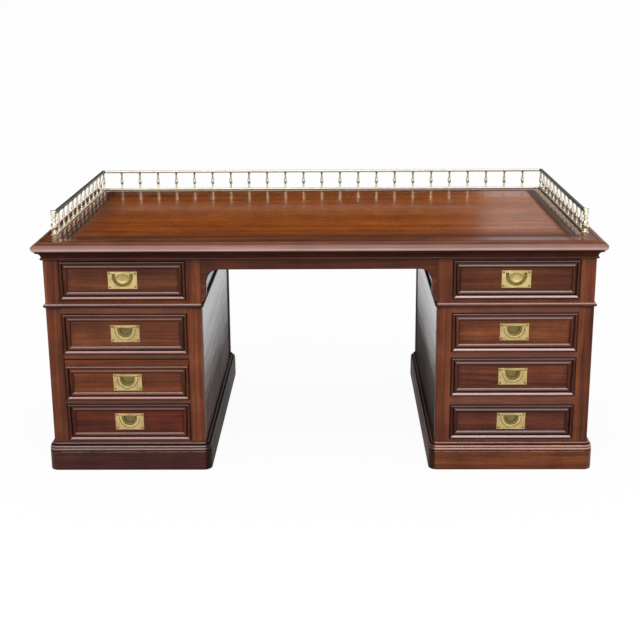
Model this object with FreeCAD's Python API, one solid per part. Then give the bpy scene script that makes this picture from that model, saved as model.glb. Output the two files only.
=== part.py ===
import FreeCAD
import Part
import math
import os

Vector = FreeCAD.Vector

# Whole desk
TOP_WIDTH = 1830.0
TOP_DEPTH = 1067.0
PEDESTAL_HEIGHT = 571.0
KNEEHOLE_WIDTH = 760.0

# Top: a panel in a mitred border with a rounded nose
TOP_THICK = 32.0
TOP_OVERHANG = 30.0
BORDER_WIDTH = 110.0
NOSE_RUN = 30.0
NOSE_DROP = 16.5
NOSE_UNDERCUT = 17.0

# Cornice moulding under the top: a cove over a bead
CORNICE_HEIGHT = 27.0
CORNICE_OUT = 20.0
CORNICE_LIP = 3.0
COVE_FOOT_OUT = 4.0
CORNICE_BEAD = 7.0

# Carcase boards
STILE_WIDTH = 49.0
FRAME_THICK = 24.0
SIDE_THICK = 20.0
BOARD_THICK = 18.0
FRIEZE_FOOT_RAIL = 12.0
FRIEZE_HEAD_RAIL = 32.0

# Openings: three drawers share the height of a pedestal, and the two pedestals are not set out alike
FRIEZE_DRAWER = 128.0
HEAD_RAIL = 35.0
DOOR_LEVEL = 100.0
LEFT_DRAWER_LEVEL = 100.0
LEFT_LOWER_RAIL = 14.0
LEFT_UPPER_RAIL = 16.0
LEFT_LOWER_LESS = 8.0
LEFT_MIDDLE_MORE = 6.0
RIGHT_DRAWER_LEVEL = 104.0
RIGHT_LOWER_RAIL = 30.5
RIGHT_UPPER_RAIL = 20.5
RIGHT_LOWER_LESS = 12.0
RIGHT_MIDDLE_MORE = 1.0

# Plain strip over the moulded frame of the left middle drawer
LEFT_MIDDLE_STRIP = 24.0

# Plinth
PLINTH_OUT = 18.0
PLINTH_FASCIA = 65.0
PLINTH_BEAD = 11.0
PLINTH_UPPER_BEAD = 9.0
PLINTH_TOP_BEAD = 9.0
PLINTH_TOP_OUT = 4.5
PLINTH_TOP_SWELL = 3.5
PLINTH_CORNER = 28.0
QUIRK = 2.5

# Astragal bead round the head of each pedestal
ASTRAGAL_HEIGHT = 14.0
ASTRAGAL_OUT = 7.0

# Kneehole apron and its shaped brackets
APRON_DROP = 61.0
APRON_THICK = 22.0
APRON_SETBACK = 2.0
BRACKET_REACH = 54.0
BRACKET_LEG = 17.0
BRACKET_FOOT = 33.0
BRACKET_STRAIGHT = 26.0
BRACKET_SWELL_OUT = 10.2
BRACKET_SWELL_UP = 13.2

# Drawers
DRAWER_DEPTH = 520.0
DRAWER_GAP = 1.2
FIELD_SETBACK = 6.0
FRONT_THICK = 20.0
BOX_THICK = 10.0
BOTTOM_THICK = 6.0
BOTTOM_RAISE = 6.0
GROOVE_DEPTH = 5.0
SIDE_HEADROOM = 8.0
BACK_HEADROOM = 16.0
RUN_CLEAR = 0.3
TAIL_LENGTH = 12.0
TAIL_COUNT = 3
TAIL_SHARE = 0.5
TAIL_FLARE = 2.0

# Moulded frame of a drawer front, door or false front
FRAME_MOULD = 24.0
MOULD_EDGE = 6.0
MOULD_BEAD = 9.0
MOULD_QUIRK = 3.5
MOULD_QUIRK_WIDTH = 1.0
MOULD_ROUND = 5.5
MOULD_SHOULDER = 3.5

# Runners and guides under and beside the drawers
RUNNER_THICK = 12.0
RUNNER_LAP = 14.0
GUIDE_HEIGHT = 20.0
BACK_ROOM = 15.0

# Flush handle: a half-round pan with a bowl, or in the frieze a groove round an oval dish
PLATE_WIDTH = 94.0
PLATE_HEIGHT = 57.0
PLATE_THICK = 3.0
PLATE_PROUD = 1.0
RECESS_RADIUS = 34.0
RECESS_RISE = 9.0
RECESS_DEPTH = 5.8
RECESS_UP = 12.2
BOWL_RADIUS = 22.5
BOWL_RISE = 7.0
BOWL_FLOOR_RADIUS = 17.0
BOWL_FLOOR_RISE = 3.0
BOWL_DEPTH = 12.0
DISH_WIDTH = 50.0
DISH_HEIGHT = 33.0
DISH_UP = 3.7
DISH_DEPTH = 8.0
DISH_SLOPE = 8.0
PAN_WALL = 3.0
PAN_FLOOR = 1.5
PAN_CLEAR = 0.4
BAIL_WIDTH = 7.0
BAIL_THICK = 5.0
BAIL_CLEAR = 1.7
BAIL_SINK = 0.3
BAIL_PIVOT_UP = 4.0
PIN_RADIUS = 1.6
PIN_CLEAR = 0.08
PIN_HOLD = 2.4
PIN_END_ROOM = 0.2
SCREW_INSET = 6.0
SCREW_HEAD = 3.4
SCREW_SHANK = 1.6
SCREW_HEAD_DEPTH = 2.0
SCREW_LENGTH = 14.0
SCREW_CLEAR = 0.1
SLOT_WIDTH = 0.8
SLOT_DEPTH = 0.7

# Cupboard doors at the rear
DOOR_GAP = 1.5
DOOR_THICK = 22.0
DOOR_STILE = 62.0
DOOR_PANEL_SETBACK = 8.0
DOOR_PANEL_THICK = 8.0
PANEL_TONGUE = 8.0
SHELF_RISE = 205.0
SHELF_ROOM = 6.0
BEARER_DEPTH = 16.0
KNOB_RADIUS = 10.0
KNOB_OUT = 22.0
KNOB_WAIST = 5.0
KNOB_NECK = 7.3
KNOB_ROSE = 7.0
KNOB_ROSE_THICK = 1.0
KNOB_SPIGOT = 3.0
KNOB_SPIGOT_LENGTH = 11.0
KNOB_CLEAR = 0.1
HINGE_LENGTH = 60.0
HINGE_INSET = 70.0
KNUCKLE_RADIUS = 4.0
KNUCKLE_CLEAR = 0.3
HINGE_PIN = 1.6
LEAF_THICK = 1.5
LEAF_WIDTH = 18.0

# Gallery rail on the top
GALLERY_INSET = 45.0
GALLERY_SETBACK = 130.0
RAIL_WIDTH = 13.0
TOP_RAIL_THICK = 10.0
FOOT_RAIL_THICK = 6.0
BALUSTER_HEIGHT = 61.0
BALUSTER_FOOT = 5.4
BALUSTER_PAD = 1.8
BALUSTER_FLARE = 5.0
BALUSTER_STEM = 2.9
BALUSTER_RING = 4.0
BALUSTER_RING_HEIGHT = 4.0
BALUSTER_STEM_HEIGHT = 3.8
BALUSTER_BELLY = 6.8
BALUSTER_BELLY_RISE = 9.8
BALUSTER_SHOULDER = 5.3
BALUSTER_SHOULDER_RISE = 8.5
BALUSTER_THROAT = 3.8
BALUSTER_NECK = 2.8
BACK_BAYS = 24
SIDE_BAYS = 12
POST_BASE = 12.0
POST_NECK = 6.4
POST_FLARE = 4.8
POST_RING = 9.4
POST_RING_HEIGHT = 4.2
POST_BELLY = 11.2
POST_BELLY_RISE = 10.0
POST_VASE_HEIGHT = 28.2
POST_THROAT = 6.0
POST_UPPER_RING = 8.8
POST_CAP = 10.0
POST_CAP_DROP = 4.0
POST_CAP_FLARE = 3.3
POST_CAP_RISE = 6.0
POST_CAP_ROUND = 3.3
POST_CAP_FLAT = 5.6
POST_GROOVE = 2.0
POST_GROOVE_HEIGHT = 4.0
POST_GROOVE_DROP = 7.5
POST_CLEAR = 0.15

# Spare length that a cutting shape runs past the wood
SPARE = 1.0

# Sizes that follow from those above
carcase_half = TOP_WIDTH / 2 - TOP_OVERHANG
face = TOP_DEPTH / 2 - TOP_OVERHANG
pedestal_half = (carcase_half - KNEEHOLE_WIDTH / 2) / 2
pedestal_middle = KNEEHOLE_WIDTH / 2 + pedestal_half
opening_half = pedestal_half - STILE_WIDTH
frame_back = face - FRAME_THICK
pedestal_opening_head = PEDESTAL_HEIGHT - HEAD_RAIL
frieze_foot = PEDESTAL_HEIGHT + FRIEZE_FOOT_RAIL
frieze_head = frieze_foot + FRIEZE_DRAWER
top_underside = frieze_head + FRIEZE_HEAD_RAIL
desk_height = top_underside + TOP_THICK
partition_front = -face + DRAWER_DEPTH + BACK_ROOM
recess_floor = RECESS_DEPTH - PLATE_PROUD
bowl_floor = BOWL_DEPTH - PLATE_PROUD
dish_floor = DISH_DEPTH - PLATE_PROUD
pivot_up = RECESS_UP + BAIL_PIVOT_UP
pivot_in = BAIL_SINK - PLATE_PROUD + BAIL_THICK / 2
bail_outer = RECESS_RADIUS - BAIL_CLEAR
bail_inner = bail_outer - BAIL_WIDTH


def drawer_rows(level, lower_rail, upper_rail, lower_less, middle_more):
    """Foot and height of the four drawer openings on one side, from the frieze down."""
    room = pedestal_opening_head - level - lower_rail - upper_rail
    upper = (room + lower_less - middle_more) / 3
    middle = upper + middle_more
    lower = upper - lower_less
    middle_foot = level + lower + lower_rail
    upper_foot = middle_foot + middle + upper_rail
    return [(frieze_foot, FRIEZE_DRAWER), (upper_foot, upper), (middle_foot, middle), (level, lower)]


def box(x, y, z):
    """A board between the low and the high value given on each axis."""
    return Part.makeBox(x[1] - x[0], y[1] - y[0], z[1] - z[0], Vector(x[0], y[0], z[0]))


def span(middle, size):
    return (middle - size / 2, middle + size / 2)


def pair(low, high, side):
    """The range from low to high on the plus side, or mirrored to the minus side."""
    return (low, high) if side > 0 else (-high, -low)


def arc(through, end):
    return ("arc", through, end)


def quarter(corner, end):
    """A quarter oval to the end, with its sides along the lines to the corner."""
    return ("quarter", corner, end)


def step_edge(kind, here, middle, there):
    if kind == "line":
        return Part.makeLine(here, there)
    if kind == "arc":
        return Part.Arc(here, middle, there).toShape()
    centre = here + there - middle
    near, far = sorted((here, there), key=centre.distanceToPoint)
    if math.isclose(centre.distanceToPoint(near), centre.distanceToPoint(far)):
        crown = centre + (middle - centre) * math.sqrt(0.5)
        return Part.Arc(here, crown, there).toShape()
    return Part.ArcOfEllipse(Part.Ellipse(far, near, centre), 0, math.pi / 2).toShape()


def outline(steps, place):
    """A face round the steps: a step is a point, an arc or a quarter oval."""
    here = steps[0]
    edges = []
    for step in steps[1:] + steps[:1]:
        kind, middle, there = step if len(step) == 3 else ("line", step, step)
        edges.append(step_edge(kind, place(*here), place(*middle), place(*there)))
        here = there
    return Part.Face(Part.Wire(edges))


def turned(steps):
    """A turned piece on the upright axis: a step is radius and height."""
    profile = outline(steps, lambda radius, up: Vector(radius, 0, up))
    return profile.revolve(Vector(0, 0, 0), Vector(0, 0, 1), 360)


def rod(radius, start, along):
    return Part.makeCylinder(radius, along.Length, start, along)


def moved(shape, x, y, z):
    copy = shape.copy()
    copy.translate(Vector(x, y, z))
    return copy


def faced_back(shape):
    """The same piece turned to face the rear."""
    copy = shape.copy()
    copy.rotate(Vector(0, 0, 0), Vector(0, 0, 1), 180)
    return copy


def mitred_ring(steps, half_x, half_y):
    """Four mitred lengths round a rectangle: a step is distance out and height."""
    points = [point for step in steps for point in (step[1:] if len(step) == 3 else [step])]
    far = max(out for out, up in points) + SPARE
    near = min(out for out, up in points) - SPARE
    low = min(up for out, up in points) - SPARE
    high = max(up for out, up in points) + SPARE
    lengths = []
    for turn in range(4):
        along, across = (half_x, half_y) if turn % 2 == 0 else (half_y, half_x)
        end = along + far
        profile = outline(steps, lambda out, up: Vector(-end, -across - out, up))
        strip = profile.extrude(Vector(2 * end, 0, 0))
        plan = [(-end, -across - far), (end, -across - far)]
        plan += [(along + near, -across - near), (-along - near, -across - near)]
        wedge = outline(plan, lambda x, y: Vector(x, y, low)).extrude(Vector(0, 0, high - low))
        length = strip.common(wedge).Solids[0]
        length.rotate(Vector(0, 0, 0), Vector(0, 0, 1), 90 * turn)
        lengths.append(length)
    return lengths


def frame_moulding(half_x, low, high):
    """Mitred moulding planted on a field: it lies at y 0 and stands out to the front."""
    bead_start = (0, MOULD_EDGE)
    bead_end = (-MOULD_BEAD, MOULD_EDGE)
    bead_crown = (-MOULD_BEAD / 2, MOULD_EDGE + MOULD_BEAD / 2)
    quirk_outer = (-MOULD_BEAD, MOULD_QUIRK)
    quirk_inner = (-MOULD_BEAD - MOULD_QUIRK_WIDTH, MOULD_QUIRK)
    shoulder = (quirk_inner[0] - MOULD_SHOULDER, MOULD_ROUND)
    steps = [(0, 0), bead_start, arc(bead_crown, bead_end), quirk_outer, quirk_inner]
    steps.append(quarter((quirk_inner[0], MOULD_ROUND), shoulder))
    steps.append(quarter((-FRAME_MOULD, MOULD_ROUND), (-FRAME_MOULD, 0)))
    lengths = mitred_ring(steps, half_x, (high - low) / 2)
    for length in lengths:
        length.rotate(Vector(0, 0, 0), Vector(1, 0, 0), 90)
        length.translate(Vector(0, 0, (low + high) / 2))
    return lengths


def d_outline(radius, rise, depth):
    """A flat-topped half round, upright at the given depth."""
    steps = [(radius, 0), arc((0, -radius), (-radius, 0)), (-radius, rise), (radius, rise)]
    return outline(steps, lambda x, up: Vector(x, depth, RECESS_UP + up))


def d_block(radius, rise, start, end):
    return d_outline(radius, rise, start).extrude(Vector(0, end - start, 0))


def oval_outline(half_width, half_height, depth):
    centre = Vector(0, depth, DISH_UP)
    side = centre + Vector(half_width, 0, 0)
    head = centre + Vector(0, 0, half_height)
    return Part.Face(Part.Wire(Part.Ellipse(side, head, centre).toShape()))


def bowl_block(frieze, start, wall):
    """The tapered finger bowl from the given depth inward, with a wall added all round."""
    if frieze:
        half_width = DISH_WIDTH / 2 + wall
        half_height = DISH_HEIGHT / 2 + wall
        mouth = oval_outline(half_width, half_height, start)
        floor = oval_outline(half_width - DISH_SLOPE, half_height - DISH_SLOPE, dish_floor + wall)
    else:
        mouth = d_outline(BOWL_RADIUS + wall, BOWL_RISE + wall, start)
        floor = d_outline(BOWL_FLOOR_RADIUS + wall, BOWL_FLOOR_RISE + wall, bowl_floor + wall)
    return Part.makeLoft([mouth.OuterWire, floor.OuterWire], True, True)


def bail_bed(frieze):
    """The sunk bed of the bail: a whole pan, or in the frieze a groove round a flush middle."""
    bed = d_block(RECESS_RADIUS, RECESS_RISE, -PLATE_PROUD - SPARE, recess_floor)
    if not frieze:
        return bed
    middle = d_block(bail_inner - BAIL_CLEAR, RECESS_RISE, -PLATE_PROUD - SPARE, recess_floor)
    return bed.cut(middle)


def screw_places():
    across = PLATE_WIDTH / 2 - SCREW_INSET
    up = PLATE_HEIGHT / 2 - SCREW_INSET
    return [(across, up), (-across, up), (across, -up), (-across, -up)]


def screw_blank(x, z, extra):
    """A countersunk screw from the face of the plate inward, or its hole with extra room."""
    inward = Vector(0, 1, 0)
    start = Vector(x, -PLATE_PROUD, z)
    neck = start + inward * SCREW_HEAD_DEPTH
    head = Part.makeCone(SCREW_HEAD + extra, SCREW_SHANK + extra, SCREW_HEAD_DEPTH, start, inward)
    shank = rod(SCREW_SHANK + extra, neck, inward * (SCREW_LENGTH - SCREW_HEAD_DEPTH + extra))
    return head.fuse(shank)


def handle_screws():
    screws = []
    for x, z in screw_places():
        slot_y = (-PLATE_PROUD - SPARE, -PLATE_PROUD + SLOT_DEPTH)
        slot = box(span(x, 2 * SCREW_HEAD + SPARE), slot_y, span(z, SLOT_WIDTH))
        screws.append(screw_blank(x, z, 0).cut(slot).Solids[0])
    return screws


def handle_pan(frieze, extra):
    """Everything of the handle plate that is let into the wood, with extra room round it."""
    back = PLATE_THICK - PLATE_PROUD + extra
    plate_x = span(0, PLATE_WIDTH + 2 * extra)
    plate_z = span(0, PLATE_HEIGHT + 2 * extra)
    plate = box(plate_x, (-PLATE_PROUD, back), plate_z)
    pan_radius = RECESS_RADIUS + PAN_WALL + extra
    pan = d_block(pan_radius, RECESS_RISE + PAN_WALL + extra, 0, recess_floor + PAN_FLOOR + extra)
    return plate.fuse([pan, bowl_block(frieze, 0, PAN_FLOOR + extra)])


def handle_plate(frieze):
    hollows = [bail_bed(frieze), bowl_block(frieze, -PLATE_PROUD, 0)]
    hollows += [screw_blank(x, z, SCREW_CLEAR) for x, z in screw_places()]
    for side in (-1, 1):
        pin_start = Vector(side * (RECESS_RADIUS - SPARE), pivot_in, pivot_up)
        pin_depth = SPARE + PIN_HOLD + PIN_END_ROOM
        hollows.append(rod(PIN_RADIUS + PIN_CLEAR, pin_start, Vector(side * pin_depth, 0, 0)))
    return handle_pan(frieze, 0).cut(hollows).removeSplitter().Solids[0]


def handle_bail():
    """The half-round bail with an eye and a pivot pin at each end."""
    arm = BAIL_PIVOT_UP
    steps = [(bail_outer, 0), arc((0, -bail_outer), (-bail_outer, 0))]
    steps += [(-bail_outer, arm), (-bail_inner, arm), (-bail_inner, 0)]
    steps += [arc((0, -bail_inner), (bail_inner, 0)), (bail_inner, arm), (bail_outer, arm)]
    front = pivot_in - BAIL_THICK / 2
    bow = outline(steps, lambda x, up: Vector(x, front, RECESS_UP + up)).extrude(Vector(0, BAIL_THICK, 0))
    ends = []
    for side in (-1, 1):
        outward = Vector(side, 0, 0)
        eye_start = Vector(side * bail_inner, pivot_in, pivot_up)
        pin_length = RECESS_RADIUS + PIN_HOLD - bail_inner
        ends.append(rod(BAIL_THICK / 2, eye_start, outward * BAIL_WIDTH))
        ends.append(rod(PIN_RADIUS, eye_start, outward * pin_length))
    return bow.fuse(ends).removeSplitter().Solids[0]


def dovetails(side, height):
    """Tails on the front end of a drawer side."""
    outer = opening_half - DRAWER_GAP
    root = FIELD_SETBACK + FRONT_THICK
    tip = root - TAIL_LENGTH
    pitch = height / TAIL_COUNT
    tails = []
    for place in range(TAIL_COUNT):
        middle = RUN_CLEAR + pitch * (place + 0.5)
        narrow = pitch * TAIL_SHARE / 2
        wide = narrow + TAIL_FLARE
        steps = [(root, middle - narrow), (tip, middle - wide)]
        steps += [(tip, middle + wide), (root, middle + narrow)]
        start = outer if side < 0 else outer - BOX_THICK
        tail = outline(steps, lambda y, z: Vector(side * start, y, z))
        tails.append(tail.extrude(Vector(BOX_THICK, 0, 0)))
    return tails


def drawer(height, head_strip, frieze):
    """One drawer from the foot of its opening at the carcase face: front, box and handle middle."""
    half = opening_half - DRAWER_GAP
    low = DRAWER_GAP
    high = height - DRAWER_GAP
    root = FIELD_SETBACK + FRONT_THICK
    frame_high = high - head_strip
    handle_up = (low + frame_high) / 2
    side_height = height - SIDE_HEADROOM
    bottom_z = (RUN_CLEAR + BOTTOM_RAISE, RUN_CLEAR + BOTTOM_RAISE + BOTTOM_THICK)
    bottom_half = half - BOX_THICK + GROOVE_DEPTH
    bottom = box((-bottom_half, bottom_half), (root - GROOVE_DEPTH, DRAWER_DEPTH), bottom_z)
    board = box((-half, half), (FIELD_SETBACK, root), (low, high))
    pockets = [handle_pan(frieze, PAN_CLEAR)] + [screw_blank(x, z, SCREW_CLEAR) for x, z in screw_places()]
    pockets = [moved(pocket, 0, FIELD_SETBACK, handle_up) for pocket in pockets]
    sides = []
    sockets = []
    for side in (-1, 1):
        cheek_x = pair(half - BOX_THICK, half, side)
        cheek = box(cheek_x, (root, DRAWER_DEPTH), (RUN_CLEAR, RUN_CLEAR + side_height))
        tails = dovetails(side, side_height)
        sockets += tails
        sides.append(cheek.fuse(tails).cut(bottom).removeSplitter().Solids[0])
    board = board.cut([bottom] + sockets)
    back_z = (bottom_z[1], RUN_CLEAR + side_height - BACK_HEADROOM + SIDE_HEADROOM)
    back = box((-half + BOX_THICK, half - BOX_THICK), (DRAWER_DEPTH - BOX_THICK, DRAWER_DEPTH), back_z)
    front = [board]
    for length in frame_moulding(half, low, frame_high):
        front.append(moved(length, 0, FIELD_SETBACK, 0))
    if head_strip > 0:
        front.append(box((-half, half), (0, FIELD_SETBACK), (frame_high, high)))
    front = [piece.cut(pockets).Solids[0] for piece in front]
    return front, sides + [back, bottom], handle_up


def false_front(height):
    """A fixed front that fills its opening, with the same moulded frame as a drawer."""
    board = box((-opening_half, opening_half), (FIELD_SETBACK, FIELD_SETBACK + FRONT_THICK), (0, height))
    lengths = frame_moulding(opening_half, 0, height)
    return [board] + [moved(length, 0, FIELD_SETBACK, 0) for length in lengths]


def runners(foot, back):
    """Two runners and two guides for the opening whose foot is at this height."""
    wall = pedestal_half - SIDE_THICK
    strips = []
    for side in (-1, 1):
        under = pair(opening_half - RUNNER_LAP, wall, side)
        beside = pair(opening_half, wall, side)
        strips.append(box(under, (-frame_back, back), (foot - RUNNER_THICK, foot)))
        strips.append(box(beside, (-frame_back, back), (foot, foot + GUIDE_HEIGHT)))
    return strips


def stiles(low, high):
    """Front and rear stiles of one pedestal, or of the frieze over it."""
    boards = []
    for side in (-1, 1):
        across = pair(opening_half, pedestal_half, side)
        boards.append(box(across, (-face, -frame_back), (low, high)))
        boards.append(box(across, (frame_back, face), (low, high)))
    return boards


def rail(front, low, high):
    depth = (-face, -frame_back) if front else (frame_back, face)
    return box((-opening_half, opening_half), depth, (low, high))


def walls(low, high):
    """The two side boards between the front and the rear stiles."""
    boards = []
    for side in (-1, 1):
        across = pair(pedestal_half - SIDE_THICK, pedestal_half, side)
        boards.append(box(across, (-frame_back, frame_back), (low, high)))
    return boards


def inner_boards():
    """Head and bottom board, partition, shelf and shelf bearers of a pedestal."""
    wall = pedestal_half - SIDE_THICK
    across = (-wall, wall)
    deep = (-frame_back, frame_back)
    floor = DOOR_LEVEL - RUNNER_THICK
    partition_y = (partition_front, partition_front + BOARD_THICK)
    shelf_y = (partition_y[1], face - DOOR_THICK - SHELF_ROOM)
    shelf_z = (floor + SHELF_RISE, floor + SHELF_RISE + BOARD_THICK)
    head = box(across, deep, (PEDESTAL_HEIGHT - BOARD_THICK, PEDESTAL_HEIGHT))
    bottom = box(across, deep, (floor - BOARD_THICK, floor))
    partition = box(across, partition_y, (floor, PEDESTAL_HEIGHT - BOARD_THICK))
    shelf = box(across, shelf_y, shelf_z)
    bearers = []
    for side in (-1, 1):
        across = pair(wall - BEARER_DEPTH, wall, side)
        bearers.append(box(across, shelf_y, (shelf_z[0] - BEARER_DEPTH, shelf_z[0])))
    return [head, bottom, partition, shelf] + bearers


def plinth_steps(inner):
    """The plinth outline: fascia, two beads side by side, and a smaller bead set back above a quirk."""
    bead_foot = PLINTH_FASCIA
    bead_head = bead_foot + PLINTH_BEAD
    upper_head = bead_head + PLINTH_UPPER_BEAD
    plinth_head = upper_head + PLINTH_TOP_BEAD
    bead_back = PLINTH_OUT - QUIRK
    upper_back = bead_back - QUIRK
    top_crown = (PLINTH_TOP_OUT + PLINTH_TOP_SWELL, upper_head + PLINTH_TOP_BEAD / 2)
    steps = [(inner, 0), (PLINTH_OUT, 0), (PLINTH_OUT, bead_foot), (bead_back, bead_foot)]
    steps.append(arc((PLINTH_OUT, bead_foot + PLINTH_BEAD / 2), (bead_back, bead_head)))
    steps.append(arc((bead_back + QUIRK / 2, bead_head + PLINTH_UPPER_BEAD / 2), (upper_back, upper_head)))
    steps.append((PLINTH_TOP_OUT, upper_head))
    steps.append(arc(top_crown, (PLINTH_TOP_OUT, plinth_head)))
    steps.append((inner, plinth_head))
    return steps


def plinth():
    """Four plinth lengths and four rounded corner blocks round one pedestal."""
    inset = PLINTH_CORNER - PLINTH_OUT
    plinth_head = plinth_steps(0)[-1][1]
    core = box((-pedestal_half, pedestal_half), (-face, face), (-SPARE, plinth_head + SPARE))
    pieces = []
    for turn in range(4):
        along, across = (pedestal_half, face) if turn % 2 == 0 else (face, pedestal_half)
        end = along - inset
        profile = outline(plinth_steps(0), lambda out, up: Vector(-end, -across - out, up))
        length = profile.extrude(Vector(2 * end, 0, 0))
        section = outline(plinth_steps(-inset), lambda out, up: Vector(end, -across - out, up))
        centre = Vector(end, -across + inset, 0)
        corner = section.revolve(centre, Vector(0, 0, 1), 90)
        for piece in (length, corner):
            piece.rotate(Vector(0, 0, 0), Vector(0, 0, 1), 90 * turn)
        pieces.append(length)
        pieces.append(corner.cut(core).Solids[0])
    return pieces


def astragal():
    """Half-round bead, mitred round the head of one pedestal."""
    crown = (ASTRAGAL_OUT, PEDESTAL_HEIGHT - ASTRAGAL_HEIGHT / 2)
    low = PEDESTAL_HEIGHT - ASTRAGAL_HEIGHT
    return mitred_ring([(0, low), arc(crown, (0, PEDESTAL_HEIGHT))], pedestal_half, face)


def apron():
    """Kneehole apron with a shaped bracket at each end, for the front."""
    half = KNEEHOLE_WIDTH / 2
    deep = (-face + APRON_SETBACK, -face + APRON_SETBACK + APRON_THICK)
    underside = top_underside - APRON_DROP
    pieces = [box((-half, half), deep, (underside, top_underside))]
    foot = (0, PEDESTAL_HEIGHT)
    ankle = (BRACKET_LEG, PEDESTAL_HEIGHT + BRACKET_FOOT)
    knee = (BRACKET_LEG, PEDESTAL_HEIGHT + BRACKET_FOOT + BRACKET_STRAIGHT)
    toe = (BRACKET_REACH, underside)
    swell = (BRACKET_SWELL_OUT, PEDESTAL_HEIGHT + BRACKET_SWELL_UP)
    steps = [foot, arc(swell, ankle), knee, quarter((BRACKET_LEG, underside), toe), (0, underside)]
    for side in (-1, 1):
        profile = outline(steps, lambda reach, up: Vector(side * (half - reach), deep[0], up))
        pieces.append(profile.extrude(Vector(0, APRON_THICK, 0)))
    return pieces


def cornice():
    """Cove and bead, mitred round the head of the frieze."""
    foot = top_underside - CORNICE_HEIGHT
    bead_head = foot + CORNICE_BEAD
    bead_crown = (COVE_FOOT_OUT + CORNICE_BEAD / 2, foot + CORNICE_BEAD / 2)
    cove_foot = (COVE_FOOT_OUT, bead_head)
    cove_head = (CORNICE_OUT, top_underside - CORNICE_LIP)
    steps = [(0, foot), (COVE_FOOT_OUT, foot), arc(bead_crown, cove_foot)]
    steps.append(quarter((COVE_FOOT_OUT, cove_head[1]), cove_head))
    steps += [(CORNICE_OUT, top_underside), (0, top_underside)]
    return mitred_ring(steps, carcase_half, face)


def top_border():
    """Mitred border boards with a rounded nose on the outer edge."""
    shoulder = (-NOSE_RUN, desk_height)
    nose = (0, desk_height - NOSE_DROP)
    heel = (-NOSE_UNDERCUT, top_underside)
    steps = [(-BORDER_WIDTH, top_underside), (-BORDER_WIDTH, desk_height), shoulder]
    steps.append(quarter((0, desk_height), nose))
    steps.append(quarter((0, top_underside), heel))
    return mitred_ring(steps, TOP_WIDTH / 2, TOP_DEPTH / 2)


def door(hinge_side):
    """A framed door from the foot of its opening, facing front: frame, panel and furniture."""
    half = opening_half - DOOR_GAP
    low = DOOR_GAP
    high = pedestal_opening_head - DOOR_LEVEL - DOOR_GAP
    field_half = half - DOOR_STILE
    field_z = (low + DOOR_STILE, high - DOOR_STILE)
    deep = (0, DOOR_THICK)
    panel_y = (DOOR_PANEL_SETBACK, DOOR_PANEL_SETBACK + DOOR_PANEL_THICK)
    panel_x = span(0, 2 * field_half + 2 * PANEL_TONGUE)
    panel = box(panel_x, panel_y, (field_z[0] - PANEL_TONGUE, field_z[1] + PANEL_TONGUE))
    knob_at = Vector(-hinge_side * (half - DOOR_STILE / 2), 0, (low + high) / 2)
    spigot_hole = rod(KNOB_SPIGOT + KNOB_CLEAR, knob_at, Vector(0, DOOR_THICK, 0))
    leaf_cuts = [hinge_leaf(hinge_side, middle, False) for middle in hinge_middles()]
    frame = []
    for side in (-1, 1):
        stile = box(pair(field_half, half, side), deep, (low, high))
        frame.append(stile.cut([panel, spigot_hole] + leaf_cuts).Solids[0])
    for rail_z in ((low, field_z[0]), (field_z[1], high)):
        frame.append(box((-field_half, field_half), deep, rail_z).cut(panel).Solids[0])
    field = [panel]
    for length in frame_moulding(field_half, field_z[0], field_z[1]):
        field.append(moved(length, 0, DOOR_PANEL_SETBACK, 0))
    furniture = [moved(door_knob(), knob_at.x, knob_at.y, knob_at.z)]
    furniture += [hinge_half(hinge_side, middle, False) for middle in hinge_middles()]
    return frame, field, furniture


def door_knob():
    """A turned knob on a spigot, standing out to the front."""
    steps = [(0, -KNOB_SPIGOT_LENGTH), (KNOB_SPIGOT, -KNOB_SPIGOT_LENGTH), (KNOB_SPIGOT, 0), (KNOB_ROSE, 0)]
    steps += [(KNOB_ROSE, KNOB_ROSE_THICK), (KNOB_WAIST, 2 * KNOB_ROSE_THICK), (KNOB_WAIST, KNOB_NECK)]
    steps.append(arc((KNOB_RADIUS, (KNOB_NECK + KNOB_OUT) / 2), (KNOB_WAIST, KNOB_OUT)))
    steps.append((0, KNOB_OUT))
    knob = turned(steps)
    knob.rotate(Vector(0, 0, 0), Vector(1, 0, 0), 90)
    return knob


def hinge_middles():
    return [HINGE_INSET, pedestal_opening_head - DOOR_LEVEL - HINGE_INSET]


def hinge_axis(hinge_side):
    """The plan position of the hinge pin: in the gap, just clear of the face."""
    return hinge_side * (opening_half - DOOR_GAP / 2), -KNUCKLE_RADIUS - KNUCKLE_CLEAR


def hinge_leaf(hinge_side, middle, fixed):
    """A leaf let into the edge of the carcase stile, or into the edge of the door."""
    low = opening_half if fixed else opening_half - DOOR_GAP - LEAF_THICK
    across = pair(low, low + LEAF_THICK, hinge_side)
    return box(across, (hinge_axis(hinge_side)[1], LEAF_WIDTH), span(middle, HINGE_LENGTH))


def hinge_half(hinge_side, middle, fixed):
    """Leaf and knuckles: the fixed half carries the outer two, the door's half the middle one."""
    x, y = hinge_axis(hinge_side)
    third = HINGE_LENGTH / 3
    upward = Vector(0, 0, 1)
    foot = middle - HINGE_LENGTH / 2
    own = [0, 2] if fixed else [1]
    other = [1] if fixed else [0, 2]
    trim = 0 if fixed else KNUCKLE_CLEAR
    knuckles = []
    for place in own:
        start = Vector(x, y, foot + third * place + trim)
        knuckles.append(rod(KNUCKLE_RADIUS, start, upward * (third - 2 * trim)))
    reliefs = []
    for place in other:
        start = Vector(x, y, foot + third * place - trim)
        reliefs.append(rod(KNUCKLE_RADIUS + KNUCKLE_CLEAR, start, upward * (third + 2 * trim)))
    bore = rod(HINGE_PIN + PIN_CLEAR, Vector(x, y, foot - SPARE), upward * (HINGE_LENGTH + 2 * SPARE))
    leaf = hinge_leaf(hinge_side, middle, fixed)
    return leaf.cut(reliefs).fuse(knuckles).cut(bore).removeSplitter().Solids[0]


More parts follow.
